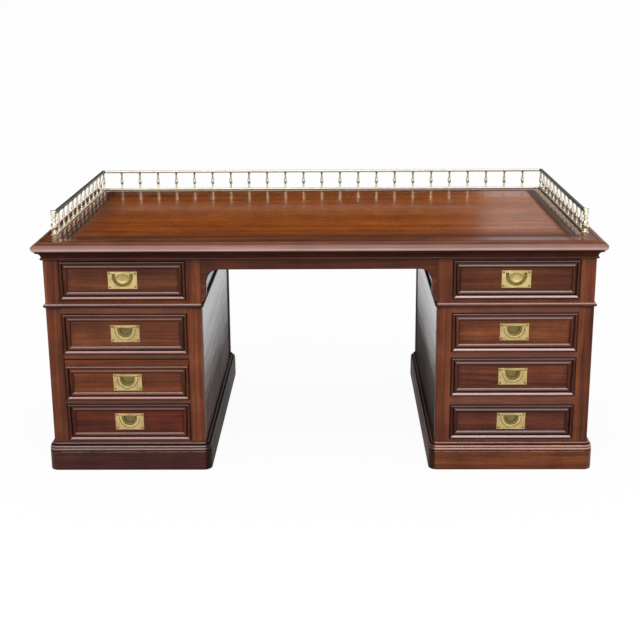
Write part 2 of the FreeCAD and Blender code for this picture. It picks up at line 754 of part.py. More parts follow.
def hinge_pin(hinge_side, middle):
    x, y = hinge_axis(hinge_side)
    return rod(HINGE_PIN, Vector(x, y, middle - HINGE_LENGTH / 2), Vector(0, 0, HINGE_LENGTH))


def baluster():
    """A slender vase-shaped spindle, widest below its middle."""
    flare_head = BALUSTER_PAD + BALUSTER_FLARE
    ring_head = flare_head + BALUSTER_RING_HEIGHT
    vase_foot = ring_head + BALUSTER_STEM_HEIGHT
    belly = vase_foot + BALUSTER_BELLY_RISE
    shoulder = belly + BALUSTER_SHOULDER_RISE
    pad_foot = BALUSTER_HEIGHT - BALUSTER_PAD
    upper_ring_head = pad_foot - BALUSTER_FLARE
    neck_head = upper_ring_head - BALUSTER_RING_HEIGHT
    steps = [(0, 0), (BALUSTER_FOOT, 0), (BALUSTER_FOOT, BALUSTER_PAD)]
    steps.append(quarter((BALUSTER_STEM, BALUSTER_PAD), (BALUSTER_STEM, flare_head)))
    steps.append(arc((BALUSTER_RING, (flare_head + ring_head) / 2), (BALUSTER_STEM, ring_head)))
    steps.append((BALUSTER_STEM, vase_foot))
    steps.append(arc((BALUSTER_BELLY, belly), (BALUSTER_SHOULDER, shoulder)))
    steps.append(arc((BALUSTER_THROAT, (shoulder + neck_head) / 2), (BALUSTER_NECK, neck_head)))
    steps.append(arc((BALUSTER_RING, (neck_head + upper_ring_head) / 2), (BALUSTER_NECK, upper_ring_head)))
    steps.append(quarter((BALUSTER_NECK, pad_foot), (BALUSTER_FOOT, pad_foot)))
    steps += [(BALUSTER_FOOT, BALUSTER_HEIGHT), (0, BALUSTER_HEIGHT)]
    return turned(steps)


def gallery_post():
    """The stouter turned post at the front end of each side rail."""
    flare_head = FOOT_RAIL_THICK + POST_FLARE
    ring_head = flare_head + POST_RING_HEIGHT
    vase_head = ring_head + POST_VASE_HEIGHT
    cap_foot = FOOT_RAIL_THICK + BALUSTER_HEIGHT - POST_CAP_DROP
    cap_flare_foot = cap_foot - POST_CAP_FLARE
    cap_head = FOOT_RAIL_THICK + BALUSTER_HEIGHT + TOP_RAIL_THICK + POST_CAP_RISE
    upper_ring = ((vase_head + cap_flare_foot) - POST_RING_HEIGHT) / 2
    upper_ring_head = upper_ring + POST_RING_HEIGHT
    steps = [(0, 0), (POST_BASE, 0), (POST_BASE, FOOT_RAIL_THICK)]
    steps.append(quarter((POST_NECK, FOOT_RAIL_THICK), (POST_NECK, flare_head)))
    steps.append(arc((POST_RING, (flare_head + ring_head) / 2), (POST_NECK, ring_head)))
    steps.append(arc((POST_BELLY, ring_head + POST_BELLY_RISE), (POST_THROAT, vase_head)))
    steps.append((POST_THROAT, upper_ring))
    steps.append(arc((POST_UPPER_RING, (upper_ring + upper_ring_head) / 2), (POST_THROAT, upper_ring_head)))
    groove_head = cap_head - POST_GROOVE_DROP
    groove_foot = groove_head - POST_GROOVE_HEIGHT
    steps += [(POST_THROAT, cap_flare_foot), (POST_CAP, cap_foot), (POST_CAP, groove_foot)]
    steps.append(arc((POST_CAP - POST_GROOVE, (groove_foot + groove_head) / 2), (POST_CAP, groove_head)))
    steps.append((POST_CAP, cap_head - POST_CAP_ROUND))
    steps.append(quarter((POST_CAP, cap_head), (POST_CAP_FLAT, cap_head)))
    steps.append((0, cap_head))
    return turned(steps)


def gallery():
    """Foot rail, top rail, balusters and posts on three sides of the top."""
    half = TOP_WIDTH / 2 - GALLERY_INSET - RAIL_WIDTH / 2
    rear = TOP_DEPTH / 2 - GALLERY_INSET - RAIL_WIDTH / 2
    start = -TOP_DEPTH / 2 + GALLERY_SETBACK
    edge = RAIL_WIDTH / 2
    foot_rail_top = desk_height + FOOT_RAIL_THICK
    top_rail_foot = foot_rail_top + BALUSTER_HEIGHT
    levels = [(desk_height, FOOT_RAIL_THICK, POST_BASE), (top_rail_foot, TOP_RAIL_THICK, POST_CAP)]
    rails = []
    for level, thick, post_radius in levels:
        plans = [[(-half - edge, rear + edge), (half + edge, rear + edge), (half - edge, rear - edge),
                  (-half + edge, rear - edge)]]
        for side in (-1, 1):
            outer = side * (half + edge)
            inner = side * (half - edge)
            plans.append([(outer, start), (outer, rear + edge), (inner, rear - edge), (inner, start)])
        upward = Vector(0, 0, thick)
        lengths = [outline(plan, lambda x, y: Vector(x, y, level)).extrude(upward) for plan in plans]
        for side in (-1, 1):
            post_seat = rod(post_radius + POST_CLEAR, Vector(side * half, start, level), upward)
            lengths = [length.cut(post_seat).Solids[0] for length in lengths]
        rails.append(lengths)
    places = [(half * (2 * bay / BACK_BAYS - 1), rear) for bay in range(BACK_BAYS + 1)]
    for side in (-1, 1):
        places += [(side * half, start + (rear - start) * bay / SIDE_BAYS) for bay in range(1, SIDE_BAYS)]
    balusters = [moved(baluster(), x, y, foot_rail_top) for x, y in places]
    posts = [moved(gallery_post(), side * half, start, desk_height) for side in (-1, 1)]
    return rails[0], rails[1], balusters, posts


def save(name, solids):
    Part.makeCompound(solids).exportStep(os.path.join("parts", name + ".step"))


os.makedirs("parts", exist_ok=True)

# Top and cornice
panel_x = TOP_WIDTH / 2 - BORDER_WIDTH
panel_y = TOP_DEPTH / 2 - BORDER_WIDTH
save("top_panel", [box((-panel_x, panel_x), (-panel_y, panel_y), (top_underside, desk_height))])
save("top_border", top_border())
save("cornice_moulding", cornice())

# Gallery
foot_rail, top_rail, balusters, posts = gallery()
save("gallery_foot_rail", foot_rail)
save("gallery_top_rail", top_rail)
save("gallery_balusters", balusters)
save("gallery_posts", posts)

# Frieze section and kneehole apron
frieze_boards = walls(PEDESTAL_HEIGHT, top_underside)
frieze_members = stiles(PEDESTAL_HEIGHT, top_underside)
for at_front in (True, False):
    frieze_members.append(rail(at_front, PEDESTAL_HEIGHT, frieze_foot))
    frieze_members.append(rail(at_front, frieze_head, top_underside))
rear_fronts = [moved(faced_back(piece), 0, face, frieze_foot) for piece in false_front(FRIEZE_DRAWER)]
both_sides = (-pedestal_middle, pedestal_middle)
save("frieze_walls", [moved(piece, x, 0, 0) for x in both_sides for piece in frieze_boards])
save("frieze_frame", [moved(piece, x, 0, 0) for x in both_sides for piece in frieze_members])
save("rear_frieze_fronts", [moved(piece, x, 0, 0) for x in both_sides for piece in rear_fronts])
save("kneehole_apron", apron() + [faced_back(piece) for piece in apron()])

# Pedestals
left_rows = drawer_rows(LEFT_DRAWER_LEVEL, LEFT_LOWER_RAIL, LEFT_UPPER_RAIL, LEFT_LOWER_LESS,
                        LEFT_MIDDLE_MORE)
right_rows = drawer_rows(RIGHT_DRAWER_LEVEL, RIGHT_LOWER_RAIL, RIGHT_UPPER_RAIL, RIGHT_LOWER_LESS,
                         RIGHT_MIDDLE_MORE)
pedestals = [("left", -pedestal_middle, 1, left_rows), ("right", pedestal_middle, -1, right_rows)]
beads = []
strips = []
fixed_hinges = []
for name, x, hinge_side, rows in pedestals:
    hinge_leaves = []
    for middle in hinge_middles():
        for half in (hinge_half(hinge_side, middle, True), hinge_pin(hinge_side, middle)):
            fixed_hinges.append(moved(faced_back(half), x, face, DOOR_LEVEL))
        leaf = faced_back(hinge_leaf(hinge_side, middle, True))
        hinge_leaves.append(moved(leaf, 0, face, DOOR_LEVEL))
    members = [stile.cut(hinge_leaves).Solids[0] for stile in stiles(0, PEDESTAL_HEIGHT)]
    members.append(rail(False, 0, DOOR_LEVEL))
    for at_front in (True, False):
        members.append(rail(at_front, pedestal_opening_head, PEDESTAL_HEIGHT))
    rail_foot = 0
    for foot, height in reversed(rows[1:]):
        members.append(rail(True, rail_foot, foot))
        rail_foot = foot + height
    save(name + "_pedestal_frame", [moved(piece, x, 0, 0) for piece in members])
    save(name + "_pedestal_sides", [moved(piece, x, 0, 0) for piece in walls(0, PEDESTAL_HEIGHT)])
    save(name + "_pedestal_boards", [moved(piece, x, 0, 0) for piece in inner_boards()])
    save(name + "_plinth", [moved(piece, x, 0, 0) for piece in plinth()])
    beads += [moved(piece, x, 0, 0) for piece in astragal()]
    for foot, height in rows:
        strips += [moved(piece, x, 0, 0) for piece in runners(foot, partition_front)]
    door_frame, door_field, door_furniture = door(hinge_side)
    for part_name, pieces in (("frame", door_frame), ("panel", door_field), ("furniture", door_furniture)):
        placed = [moved(faced_back(piece), x, face, DOOR_LEVEL) for piece in pieces]
        save(name + "_door_" + part_name, placed)
save("pedestal_astragals", beads)
save("drawer_runners", strips)
save("door_hinges", fixed_hinges)

# Drawers, numbered from the frieze down
frieze_plate = handle_plate(True)
pedestal_plate = handle_plate(False)
screws = handle_screws()
bail = handle_bail()
for name, x, hinge_side, rows in pedestals:
    for number, (foot, height) in enumerate(rows, start=1):
        frieze = number == 1
        head_strip = LEFT_MIDDLE_STRIP if name == "left" and number == 3 else 0
        front, case, handle_up = drawer(height, head_strip, frieze)
        plate = frieze_plate if frieze else pedestal_plate
        label = "%s_drawer_%d_" % (name, number)
        handle = [moved(piece, 0, FIELD_SETBACK, handle_up) for piece in [plate] + screws]
        groups = {"front": front, "box": case, "handle": handle}
        groups["bail"] = [moved(bail, 0, FIELD_SETBACK, handle_up)]
        for part_name, pieces in groups.items():
            save(label + part_name, [moved(piece, x, -face, foot) for piece in pieces])
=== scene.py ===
import math

import bmesh
import bpy
from mathutils import Matrix, Vector


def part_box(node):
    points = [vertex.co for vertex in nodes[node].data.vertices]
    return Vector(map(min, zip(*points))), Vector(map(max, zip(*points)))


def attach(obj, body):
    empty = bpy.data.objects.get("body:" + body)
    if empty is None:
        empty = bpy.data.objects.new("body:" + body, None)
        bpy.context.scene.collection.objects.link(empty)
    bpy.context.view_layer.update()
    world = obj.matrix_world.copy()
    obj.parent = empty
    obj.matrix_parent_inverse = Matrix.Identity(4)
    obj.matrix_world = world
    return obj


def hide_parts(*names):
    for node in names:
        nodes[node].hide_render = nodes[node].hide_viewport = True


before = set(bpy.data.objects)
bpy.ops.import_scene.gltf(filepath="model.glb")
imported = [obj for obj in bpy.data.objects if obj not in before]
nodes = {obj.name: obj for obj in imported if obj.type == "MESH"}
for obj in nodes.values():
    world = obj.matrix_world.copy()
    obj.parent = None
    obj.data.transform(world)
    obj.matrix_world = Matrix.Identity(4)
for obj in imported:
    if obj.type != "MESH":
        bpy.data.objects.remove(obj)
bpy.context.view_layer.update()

scene = bpy.context.scene
scene.view_settings.view_transform = "Standard"

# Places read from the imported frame, in metres
border_low, border_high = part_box("top_border")
top_half_x, top_half_y = border_high.x, border_high.y
top_level, top_underside = border_high.z, border_low.z
panel_low, panel_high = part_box("top_panel")
frame_low, frame_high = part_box("left_pedestal_frame")
face = frame_high.y
pedestal_head = frame_high.z
pedestal_middle = -(frame_low.x + frame_high.x) / 2
pedestal_half = (frame_high.x - frame_low.x) / 2
carcase_half = -frame_low.x
kneehole_half = pedestal_middle - pedestal_half

# Section sizes of the top, the carcase and the mouldings, in metres
STILE_WIDTH = 0.049
opening_half = pedestal_half - STILE_WIDTH
BORDER_WIDTH = top_half_x - panel_high.x
GALLERY_INSET, GALLERY_START = 0.064, 0.12
gallery_side, gallery_rear = top_half_x - GALLERY_INSET, top_half_y - GALLERY_INSET
gallery_front = -top_half_y + GALLERY_START
NOSE_RUN, NOSE_DROP, NOSE_UNDERCUT = 0.030, 0.0165, 0.017
CORNICE_HEIGHT, CORNICE_OUT, CORNICE_LIP = 0.027, 0.020, 0.003
COVE_FOOT_OUT, CORNICE_BEAD = 0.004, 0.007
ASTRAGAL_HEIGHT, ASTRAGAL_OUT = 0.014, 0.007
PLINTH_OUT, PLINTH_FASCIA, PLINTH_BEAD, PLINTH_UPPER_BEAD = 0.018, 0.065, 0.011, 0.009
PLINTH_TOP_BEAD, PLINTH_TOP_OUT, PLINTH_TOP_SWELL = 0.009, 0.0045, 0.0035
PLINTH_CORNER, QUIRK, PLINTH_EASE, PLINTH_LAP = 0.028, 0.0025, 0.001, 0.002
FRAME_MOULD, MOULD_BEAD, MOULD_QUIRK, MOULD_CREST = 0.024, 0.009, 0.0102, 0.0170
LEFT_MIDDLE_STRIP = 0.024
SCREW_INSET, SCREW_HEAD = 0.006, 0.0034
FRIEZE_DISH = (0.025, 0.0165, 0.0037)

# Dark joints with painted shadow in their gaps, and quirks and lines of painted shade: where they are
# darkest, where they end, in metres, and how dark a part is
JOINT_CORE, JOINT_FADE = 0.0012, 0.0040
QUIRK_CORE, QUIRK_FADE, LOWER_QUIRK_SHIFT = 0.0018, 0.0046, 0.002
FIELD_FADE, FIELD_SHADE, MOULDING_DARKNESS, STRIP_SHARE = 0.014, 0.30, 0.42, 0.75
PAN_PATINA_AND_SHADE, GROOVE_PATINA_AND_SHADE, SCREW_DIRT, PLATE_EDGE_SHADOW = 0.76, 0.78, 0.72, 0.5
RAIL_DIRT, RAIL_HAZE, GAP_SHADOW = 0.18, 0.07, 0.95
UNDER_ASTRAGAL, UNDER_ASTRAGAL_SHADE = 0.006, 0.75
FACE_EDGE_DARK, FACE_EDGE_UNSHADED, FACE_EDGE_SHADE = 0.004, 0.002, 0.6
JUNCTION_LINE, RIM_LINE, STRIP_STEP, HALVES_STEP = 0.0028, 0.0030, 0.0002, 0.001
FRONT_PATCHES, FRONT_LEAST, FRONT_LINE_SHADE = 60.0, 0.88, 0.95
LEVEL_PATCHES, LEVEL_LEAST, LEVEL_LINE_SHADE = 40.0, 0.6, 0.9

# Painted highlights on mouldings: how far a face turns down or up where it is painted pale, how pale it gets,
# widths in metres
LOWER_BEAD_TURN, LOWER_BEAD_HIGHLIGHT = (-0.9, -0.1), 0.82
UPPER_BEAD_TURN, UPPER_BEAD_HIGHLIGHT = (0.1, 0.7), 0.45
INNER_TURN, INNER_HIGHLIGHT, INNER_LAP = (0.10, 0.60), 0.33, 0.001
CREST_LINE, CREST_HIGHLIGHT, UNLIT_RIM, CROWN_TURN = 0.0045, 0.6, (0.0012, 0.0030), (0.0, 0.6)


def colour(red, green, blue):
    """A colour as it shows, 0 to 255, turned to the values a shader works with."""
    shown = [value / 255 for value in (red, green, blue)]
    plain = [s / 12.92 if s <= 0.04045 else ((s + 0.055) / 1.055) ** 2.4 for s in shown]
    return (*plain, 1.0)


class Wire:
    """One output of a finish's nodes; arithmetic on it adds Math nodes."""

    def __init__(self, finish, socket):
        self.finish = finish
        self.socket = socket

    def reckon(self, operation, *values):
        return self.finish.node("ShaderNodeMath", {"operation": operation}, dict(enumerate(values)))

    def other(self, name):
        return Wire(self.finish, self.socket.node.outputs[name])

    def __add__(self, value):
        return self.reckon("ADD", self, value)

    __radd__ = __add__

    def __sub__(self, value):
        return self.reckon("SUBTRACT", self, value)

    def __rsub__(self, value):
        return self.reckon("SUBTRACT", value, self)

    def __mul__(self, value):
        return self.reckon("MULTIPLY", self, value)

    __rmul__ = __mul__

    def __gt__(self, value):
        return self.reckon("GREATER_THAN", self, value)

    def __lt__(self, value):
        return self.reckon("LESS_THAN", self, value)

    def __abs__(self):
        return self.reckon("ABSOLUTE", self)

    def least(self, value):
        return self.reckon("MINIMUM", self, value)

    def most(self, value):
        return self.reckon("MAXIMUM", self, value)


class Finish:
    """The nodes of a material, or of the world, that give its colour, gloss and relief."""

    def __init__(self, owner):
        owner.use_nodes = True
        self.owner = owner
        self.tree = owner.node_tree
        self.tree.nodes.clear()

    def node(self, kind, settings=None, values=None, out=0):
        made = self.tree.nodes.new(kind)
        for key, value in (settings or {}).items():
            if key == "stops":
                while len(made.color_ramp.elements) < len(value):
                    made.color_ramp.elements.new(1.0)
                for element, (position, tint) in zip(made.color_ramp.elements, value):
                    element.position = position
                    element.color = tint
            else:
                setattr(made, key, value)
        for key, value in (values or {}).items():
            if isinstance(value, Wire):
                self.tree.links.new(value.socket, made.inputs[key])
            else:
                made.inputs[key].default_value = value
        return Wire(self, made.outputs[out])

    def axes(self):
        place = self.node("ShaderNodeTexCoord", out="Object")
        x = self.node("ShaderNodeSeparateXYZ", values={0: place}, out="X")
        return x, x.other("Y"), x.other("Z")

    def noise(self, along, across, deep, detail=2.0, roughness=0.5):
        spot = self.node("ShaderNodeCombineXYZ", values={0: along, 1: across, 2: deep})
        return self.node("ShaderNodeTexNoise", {}, {"Vector": spot, "Scale": 1.0, "Detail": detail,
                                                    "Roughness": roughness})

    def figure(self, scale, along, across, deep, seed, detail=2.0, roughness=0.5):
        """Noise drawn out along the grain: the scale is along it and across it, per metre."""
        lengthwise, crosswise = scale
        return self.noise(along * lengthwise + seed, across * crosswise, deep * crosswise, detail, roughness)

    def spread(self, value, low, high, start=0.0, end=1.0):
        """The value stretched so that low gives start and high gives end, and held there."""
        limits = {"Value": value, "From Min": low, "From Max": high, "To Min": start, "To Max": end}
        return self.node("ShaderNodeMapRange", {"clamp": True}, limits)

    def patches(self, x, y, z, scale, least):
        """Slow patches between the least and one, the scale per metre."""
        return self.spread(self.noise(x * scale, y * scale, z * scale), *PATCHY, least, 1.0)

    def line(self, distance, place, width):
        """One on a thin line at that distance, fading to nothing over the width."""
        return self.spread(abs(distance - place), 0.0, width, 1.0, 0.0)

    def blend(self, share, first, second):
        return self.node("ShaderNodeMix", {"data_type": "RGBA"}, {0: share, 6: first, 7: second}, out=2)

    def ramp(self, value, stops):
        return self.node("ShaderNodeValToRGB", {"stops": stops}, {0: value})

    def rise(self):
        """How far the surface faces up: 1 for level, 0 for upright, -1 for an underside."""
        facing = self.node("ShaderNodeNewGeometry", out="Normal")
        return self.node("ShaderNodeSeparateXYZ", values={0: facing}, out="Z")

    def relief(self, height, strength, depth):
        return self.node("ShaderNodeBump", {}, {"Strength": strength, "Distance": depth, "Height": height})

    def surface(self, values):
        shader = self.node("ShaderNodeBsdfPrincipled", {}, values)
        self.node_out(shader)
        return self.owner

    def node_out(self, shader, kind="ShaderNodeOutputMaterial"):
        out = self.tree.nodes.new(kind)
        self.tree.links.new(shader.socket, out.inputs["Surface"])


# Tones as they show, 0 to 255: the pale tint is for painted highlights, the dark tones serve dirt and painted
# shade alike
HIGHLIGHT_TINT, WOOD_DIRT_AND_SHADE, BRASS_PATINA_AND_SHADE = (224, 172, 164), (24, 11, 8), (98, 86, 46)
OAK_TONES, OAK_PORE_TONE = ((104, 74, 46), (140, 104, 68), (166, 130, 88)), (80, 54, 34)

# Scales of the figure along the grain and across it, per metre, and how far the grain wanders
WOOD_FLOW, WOOD_BANDS, WOOD_LINES = (1.2, 4.0), (0.7, 22.0), (2.4, 120.0)
WOOD_FIRE, WOOD_PORES, WOOD_PATINA = (12.0, 8.0), (48.0, 1000.0), (2.6, 2.6)
OAK_FLOW, OAK_BANDS, OAK_PORES, OAK_STAIN = (2.0, 5.0), (1.0, 55.0), (30.0, 700.0), (5.0, 5.0)
BRASS_CLOUD, BRASS_FLECK, BRASS_SCRATCH = (45.0, 45.0), (420.0, 420.0), (90.0, 1500.0)
WOOD_WANDER, OAK_WANDER = 0.05, 0.04
BAND_SHARE, LINE_SHARE, FIRE_SHARE, PATINA_SHARE = 0.46, 0.34, 0.20, 0.12
OAK_BAND_SHARE, OAK_STAIN_SHARE, CLOUD_SHARE, FLECK_SHARE = 0.7, 0.3, 0.75, 0.25

# Parts of a noise that are stretched from nothing to full
PATCHY, FIGURE_RANGE, TARNISH_RANGE = (0.3, 0.7), (0.36, 0.64), (0.36, 0.66)
WOOD_PORE_RANGE, OAK_PORE_RANGE = (0.57, 0.72), (0.56, 0.7)
PATINA_RANGE, SCRATCH_RANGE = (0.3, 0.9), (0.1, 1.3)

# How dark pores are, how dark undersides are painted as shade, how far a face turns up before its polish is
# full, and the least share of a painted highlight
WOOD_PORE_SHARE, OAK_PORE_SHARE, PORE_SHADE = 0.5, 0.45, 0.45
UNDERSIDE, UNDERSIDE_SHADE, POLISH_RISE, LEAST_HIGHLIGHT = (-0.7, -0.1), 0.45, (0.10, 0.42), 0.8

# Gloss: what pores, dirt, scratches and tarnish take from it, and how far it varies
PORE_DULL, DIRT_DULL, GLOSS_MORE, GLOSS_LESS, COAT_IOR = 0.4, 0.35, 0.05, 0.12, 1.9
SCRATCH_DULL, TARNISH_DULL, BRASS_DIRT_DULL = 0.5, 0.2, 0.15
OAK_ROUGHNESS, OAK_SPECULAR = (0.55, 0.72), 0.3

# Relief: strength and depth in metres, the shares that raise it, and ripples per metre along and up
WOOD_RELIEF, OAK_RELIEF, BRASS_RELIEF = (0.20, 0.0004), (0.3, 0.0005), (0.12, 0.0003)
LINE_RELIEF, OAK_BAND_RELIEF, SCRATCH_RELIEF = 0.4, 0.3, 0.5
RIPPLE_ALONG, RIPPLE_UP = 14.0, 42.0


# Grain directions: each gives the place along the grain and the two places across it
def grain_x(x, y, z):
    return x, y, z


def grain_y(x, y, z):
    return y, x, z


def grain_z(x, y, z):
    return z, x, y


def turned_where(mask, first, second):
    """The first grain, and the second one where the mask is one."""
    return [a + mask * (b - a) for a, b in zip(first, second)]


def grain_ring(half_x, half_y, middle_x=0.0):
    """Grain that runs along each length of a mitred ring."""
    def grain(x, y, z):
        side = (abs(abs(x) - middle_x) - half_x) > (abs(y) - half_y)
        return turned_where(side, grain_x(x, y, z), grain_y(x, y, z))
    return grain


def grain_frame(x, y, z):
    """Upright grain in the stiles, level grain in the rails."""
    stile = abs(abs(x) - pedestal_middle) > opening_half
    return turned_where(stile, grain_x(x, y, z), grain_z(x, y, z))


def polished_wood(name, grain, tones, seed, gloss=0.30, crown=1.0, flank=0.05, grime_and_shade=None, coat=None,
                  ripple=0.0, highlight_and_haze=None, highlight_tone=HIGHLIGHT_TINT, specular=0.12, coat_roughness=0.16):
    """Polished mahogany: broad bands, fine lines, short pores and a slow change of tone.

    The polish is full where a moulding faces up (crown) and thin where it faces the front (flank).
    """
    dark, middle, light = [colour(*tone) for tone in tones]
    finish = Finish(bpy.data.materials.new(name))
    x, y, z = finish.axes()
    along, across, deep = grain(x, y, z)
    flow = finish.figure(WOOD_FLOW, along, across, deep, seed) - 0.5
    u = across + flow * WOOD_WANDER
    w = deep + flow * WOOD_WANDER
    bands = finish.figure(WOOD_BANDS, along, u, w, seed, 3.0, 0.55)
    lines = finish.figure(WOOD_LINES, along, u, w, seed, 3.0, 0.6)
    fire = finish.figure(WOOD_FIRE, along, u, w, seed)
    pores = finish.spread(finish.figure(WOOD_PORES, along, u, w, seed, 1.0), *WOOD_PORE_RANGE)
    patina = finish.figure(WOOD_PATINA, x, y, z, seed, 3.0, 0.6)
    figure = bands * BAND_SHARE + lines * LINE_SHARE + fire * FIRE_SHARE + (patina - 0.5) * PATINA_SHARE
    wood = finish.ramp(finish.spread(figure, *FIGURE_RANGE), [(0.0, dark), (0.5, middle), (1.0, light)])
    pore_tone = tuple(PORE_SHADE * value for value in dark[:3]) + (1.0,)
    wood = finish.blend(pores * WOOD_PORE_SHARE, wood, pore_tone)
    rise = finish.rise()
    # Painted shade: faces that turn down are darkened, and the marks given add dirt and painted shade
    shade = finish.spread(rise, *UNDERSIDE, UNDERSIDE_SHADE, 0.0)
    if grime_and_shade is not None:
        shade = shade.most(grime_and_shade(finish, x, y, z))
    wood = finish.blend(shade, wood, colour(*WOOD_DIRT_AND_SHADE))
    # Painted highlights: the marks given turn the wood pale toward the highlight tint, and on the rails a
    # slight haze
    if highlight_and_haze is not None:
        rub_and_highlight = highlight_and_haze(finish, rise, x, z) * finish.spread(lines, *PATCHY, LEAST_HIGHLIGHT, 1.0)
        wood = finish.blend(rub_and_highlight, wood, colour(*highlight_tone))
    if coat is None:
        polish = finish.spread(rise, *POLISH_RISE, flank, crown)
    else:
        polish = coat(finish, x, y, z)
    polish = polish * (1 - shade)
    aged = patina + pores * PORE_DULL
    roughness = finish.spread(aged, *PATINA_RANGE, gloss - GLOSS_MORE, gloss + GLOSS_LESS) + shade * DIRT_DULL
    height = lines * LINE_RELIEF - pores
    if ripple > 0:
        height = height + finish.noise(x * RIPPLE_ALONG, y * RIPPLE_ALONG, z * RIPPLE_UP) * ripple
    return finish.surface({"Base Color": wood, "Roughness": roughness, "Specular IOR Level": specular,
                           "Coat Weight": polish, "Coat Roughness": coat_roughness, "Coat IOR": COAT_IOR,
                           "Normal": finish.relief(height, *WOOD_RELIEF)})


def oak_lining(name, grain, seed):
    """Bare oak of the drawer linings, runners and inner boards."""
    dark, middle, light = [colour(*tone) for tone in OAK_TONES]
    finish = Finish(bpy.data.materials.new(name))
    x, y, z = finish.axes()
    along, across, deep = grain(x, y, z)
    flow = finish.figure(OAK_FLOW, along, across, deep, seed) - 0.5
    u = across + flow * OAK_WANDER
    w = deep + flow * OAK_WANDER
    bands = finish.figure(OAK_BANDS, along, u, w, seed, 3.0, 0.6)
    pores = finish.spread(finish.figure(OAK_PORES, along, u, w, seed, 1.0), *OAK_PORE_RANGE)
    stain = finish.figure(OAK_STAIN, x, y, z, seed, 3.0, 0.6)
    figure = bands * OAK_BAND_SHARE + stain * OAK_STAIN_SHARE
    wood = finish.ramp(finish.spread(figure, *FIGURE_RANGE), [(0.0, dark), (0.5, middle), (1.0, light)])
    wood = finish.blend(pores * OAK_PORE_SHARE, wood, colour(*OAK_PORE_TONE))
    relief = finish.relief(bands * OAK_BAND_RELIEF - pores, *OAK_RELIEF)
    return finish.surface({"Base Color": wood, "Roughness": finish.spread(stain, *PATCHY, *OAK_ROUGHNESS),
                           "Specular IOR Level": OAK_SPECULAR, "Normal": relief})


def rubbed_brass(name, bright, dull, gloss, seed, grime_and_shade=None, dark_tone=BRASS_PATINA_AND_SHADE, metallic=1.0):
    """Old brass, rubbed bright in patches, with fine scratches, tarnish between, and dark dirt and painted
    shade where asked.
    """
    finish = Finish(bpy.data.materials.new(name))
    x, y, z = finish.axes()
    cloud = finish.figure(BRASS_CLOUD, x, y, z, seed, 4.0, 0.6)
    fleck = finish.figure(BRASS_FLECK, x, y, z, seed)
    scratch = finish.figure(BRASS_SCRATCH, x, y, z, seed)
    tarnish = finish.spread(cloud * CLOUD_SHARE + fleck * FLECK_SHARE, *TARNISH_RANGE)
    metal = finish.blend(tarnish, colour(*bright), colour(*dull))
    rub_and_highlight = tarnish + scratch * SCRATCH_DULL
    roughness = finish.spread(rub_and_highlight, *SCRATCH_RANGE, gloss, gloss + TARNISH_DULL)
    if grime_and_shade is not None:
        dark_share = grime_and_shade(finish)
        metal = finish.blend(dark_share, metal, colour(*dark_tone))
        roughness = roughness + dark_share * BRASS_DIRT_DULL
    relief = finish.relief(scratch * SCRATCH_RELIEF + cloud, *BRASS_RELIEF)
    return finish.surface({"Base Color": metal, "Metallic": metallic, "Roughness": roughness,
                           "Normal": relief})


# Handles: the depth where the patina and painted shade of a pan begin and are full, its edges in metres, and
# the rim of a dish
PAN_LIP, PAN_FLOOR, PLATE_EDGE, SCREW_GAP, UNSHADOWED_HEAD = 0.0006, 0.0065, 0.0012, 1.35 * SCREW_HEAD, 0.95
DISH_RIM, DISH_RIM_SHADE, DISH_EDGE, DISH_SHARES = 0.16, 0.5, (0.85, 1.1), (0.12, 1.25)


def handle_patina_and_shade(handle, dish=None):
    """Patina and painted shade in the sunk parts of a handle and round the rim of a dish, dirt round its
    screws and painted shadow along its sides and foot, from the handle's own box.
    """
    low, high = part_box(handle)
    wide, deep, tall = high - low

    def grime_and_shade(finish):
        place = finish.node("ShaderNodeTexCoord", out="Generated")
        x = finish.node("ShaderNodeSeparateXYZ", values={0: place}, out="X")
        aside = abs(x - 0.5) * wide
        up = x.other("Z") - 0.5
        apart = abs(up) * tall
        most_dirt = PAN_PATINA_AND_SHADE if dish is None else GROOVE_PATINA_AND_SHADE
        sunk = finish.spread(x.other("Y") * deep, PAN_LIP, PAN_FLOOR, 0.0, most_dirt)
        if dish is not None:
            dish_x, dish_z, dish_up = dish
            oval_x = aside * (1 / dish_x)
            oval_z = (up * tall - dish_up) * (1 / dish_z)
            oval = oval_x * oval_x + oval_z * oval_z
            rim = finish.line(oval, 1.0, DISH_RIM) * DISH_RIM_SHADE
            sunk = (sunk * finish.spread(oval, *DISH_EDGE, *DISH_SHARES)).most(rim)
        from_screw_x = aside - (wide / 2 - SCREW_INSET)
        from_screw_z = apart - (tall / 2 - SCREW_INSET)
        screw = finish.spread(from_screw_x * from_screw_x + from_screw_z * from_screw_z,
                              SCREW_HEAD ** 2, SCREW_GAP ** 2, SCREW_DIRT, 0.0)
        inset = (wide / 2 - aside).least(tall / 2 - apart)
        edge = finish.spread(inset, 0.0, PLATE_EDGE, PLATE_EDGE_SHADOW, 0.0)
        return sunk.most(screw).most(edge * (x.other("Z") < UNSHADOWED_HEAD))

    return grime_and_shade


# Tarnish of the gallery, with painted shade under the rails and under the top rail: zones in metres, or in
# shares of a baluster's height, and how strong it is
SIDE_RAIL_ZONE, RAIL_PARTING, REAR_ROW_ZONE = 0.0145, 0.03, 0.02
RAIL_UNDERSIDE, RAIL_UNDER_SHADE = (-0.97, -0.70), 0.9
SIDE_TARNISH, RIGHT_FOOT_TARNISH, TOP_RAIL_TARNISH = 0.92, 0.75, 0.17
NECK_START, NECK_FULL, NECK_TARNISH = 0.50, 0.68, 0.50
CAP_START, CAP_FULL, CAP_SHADE = 0.010, 0.005, 0.78


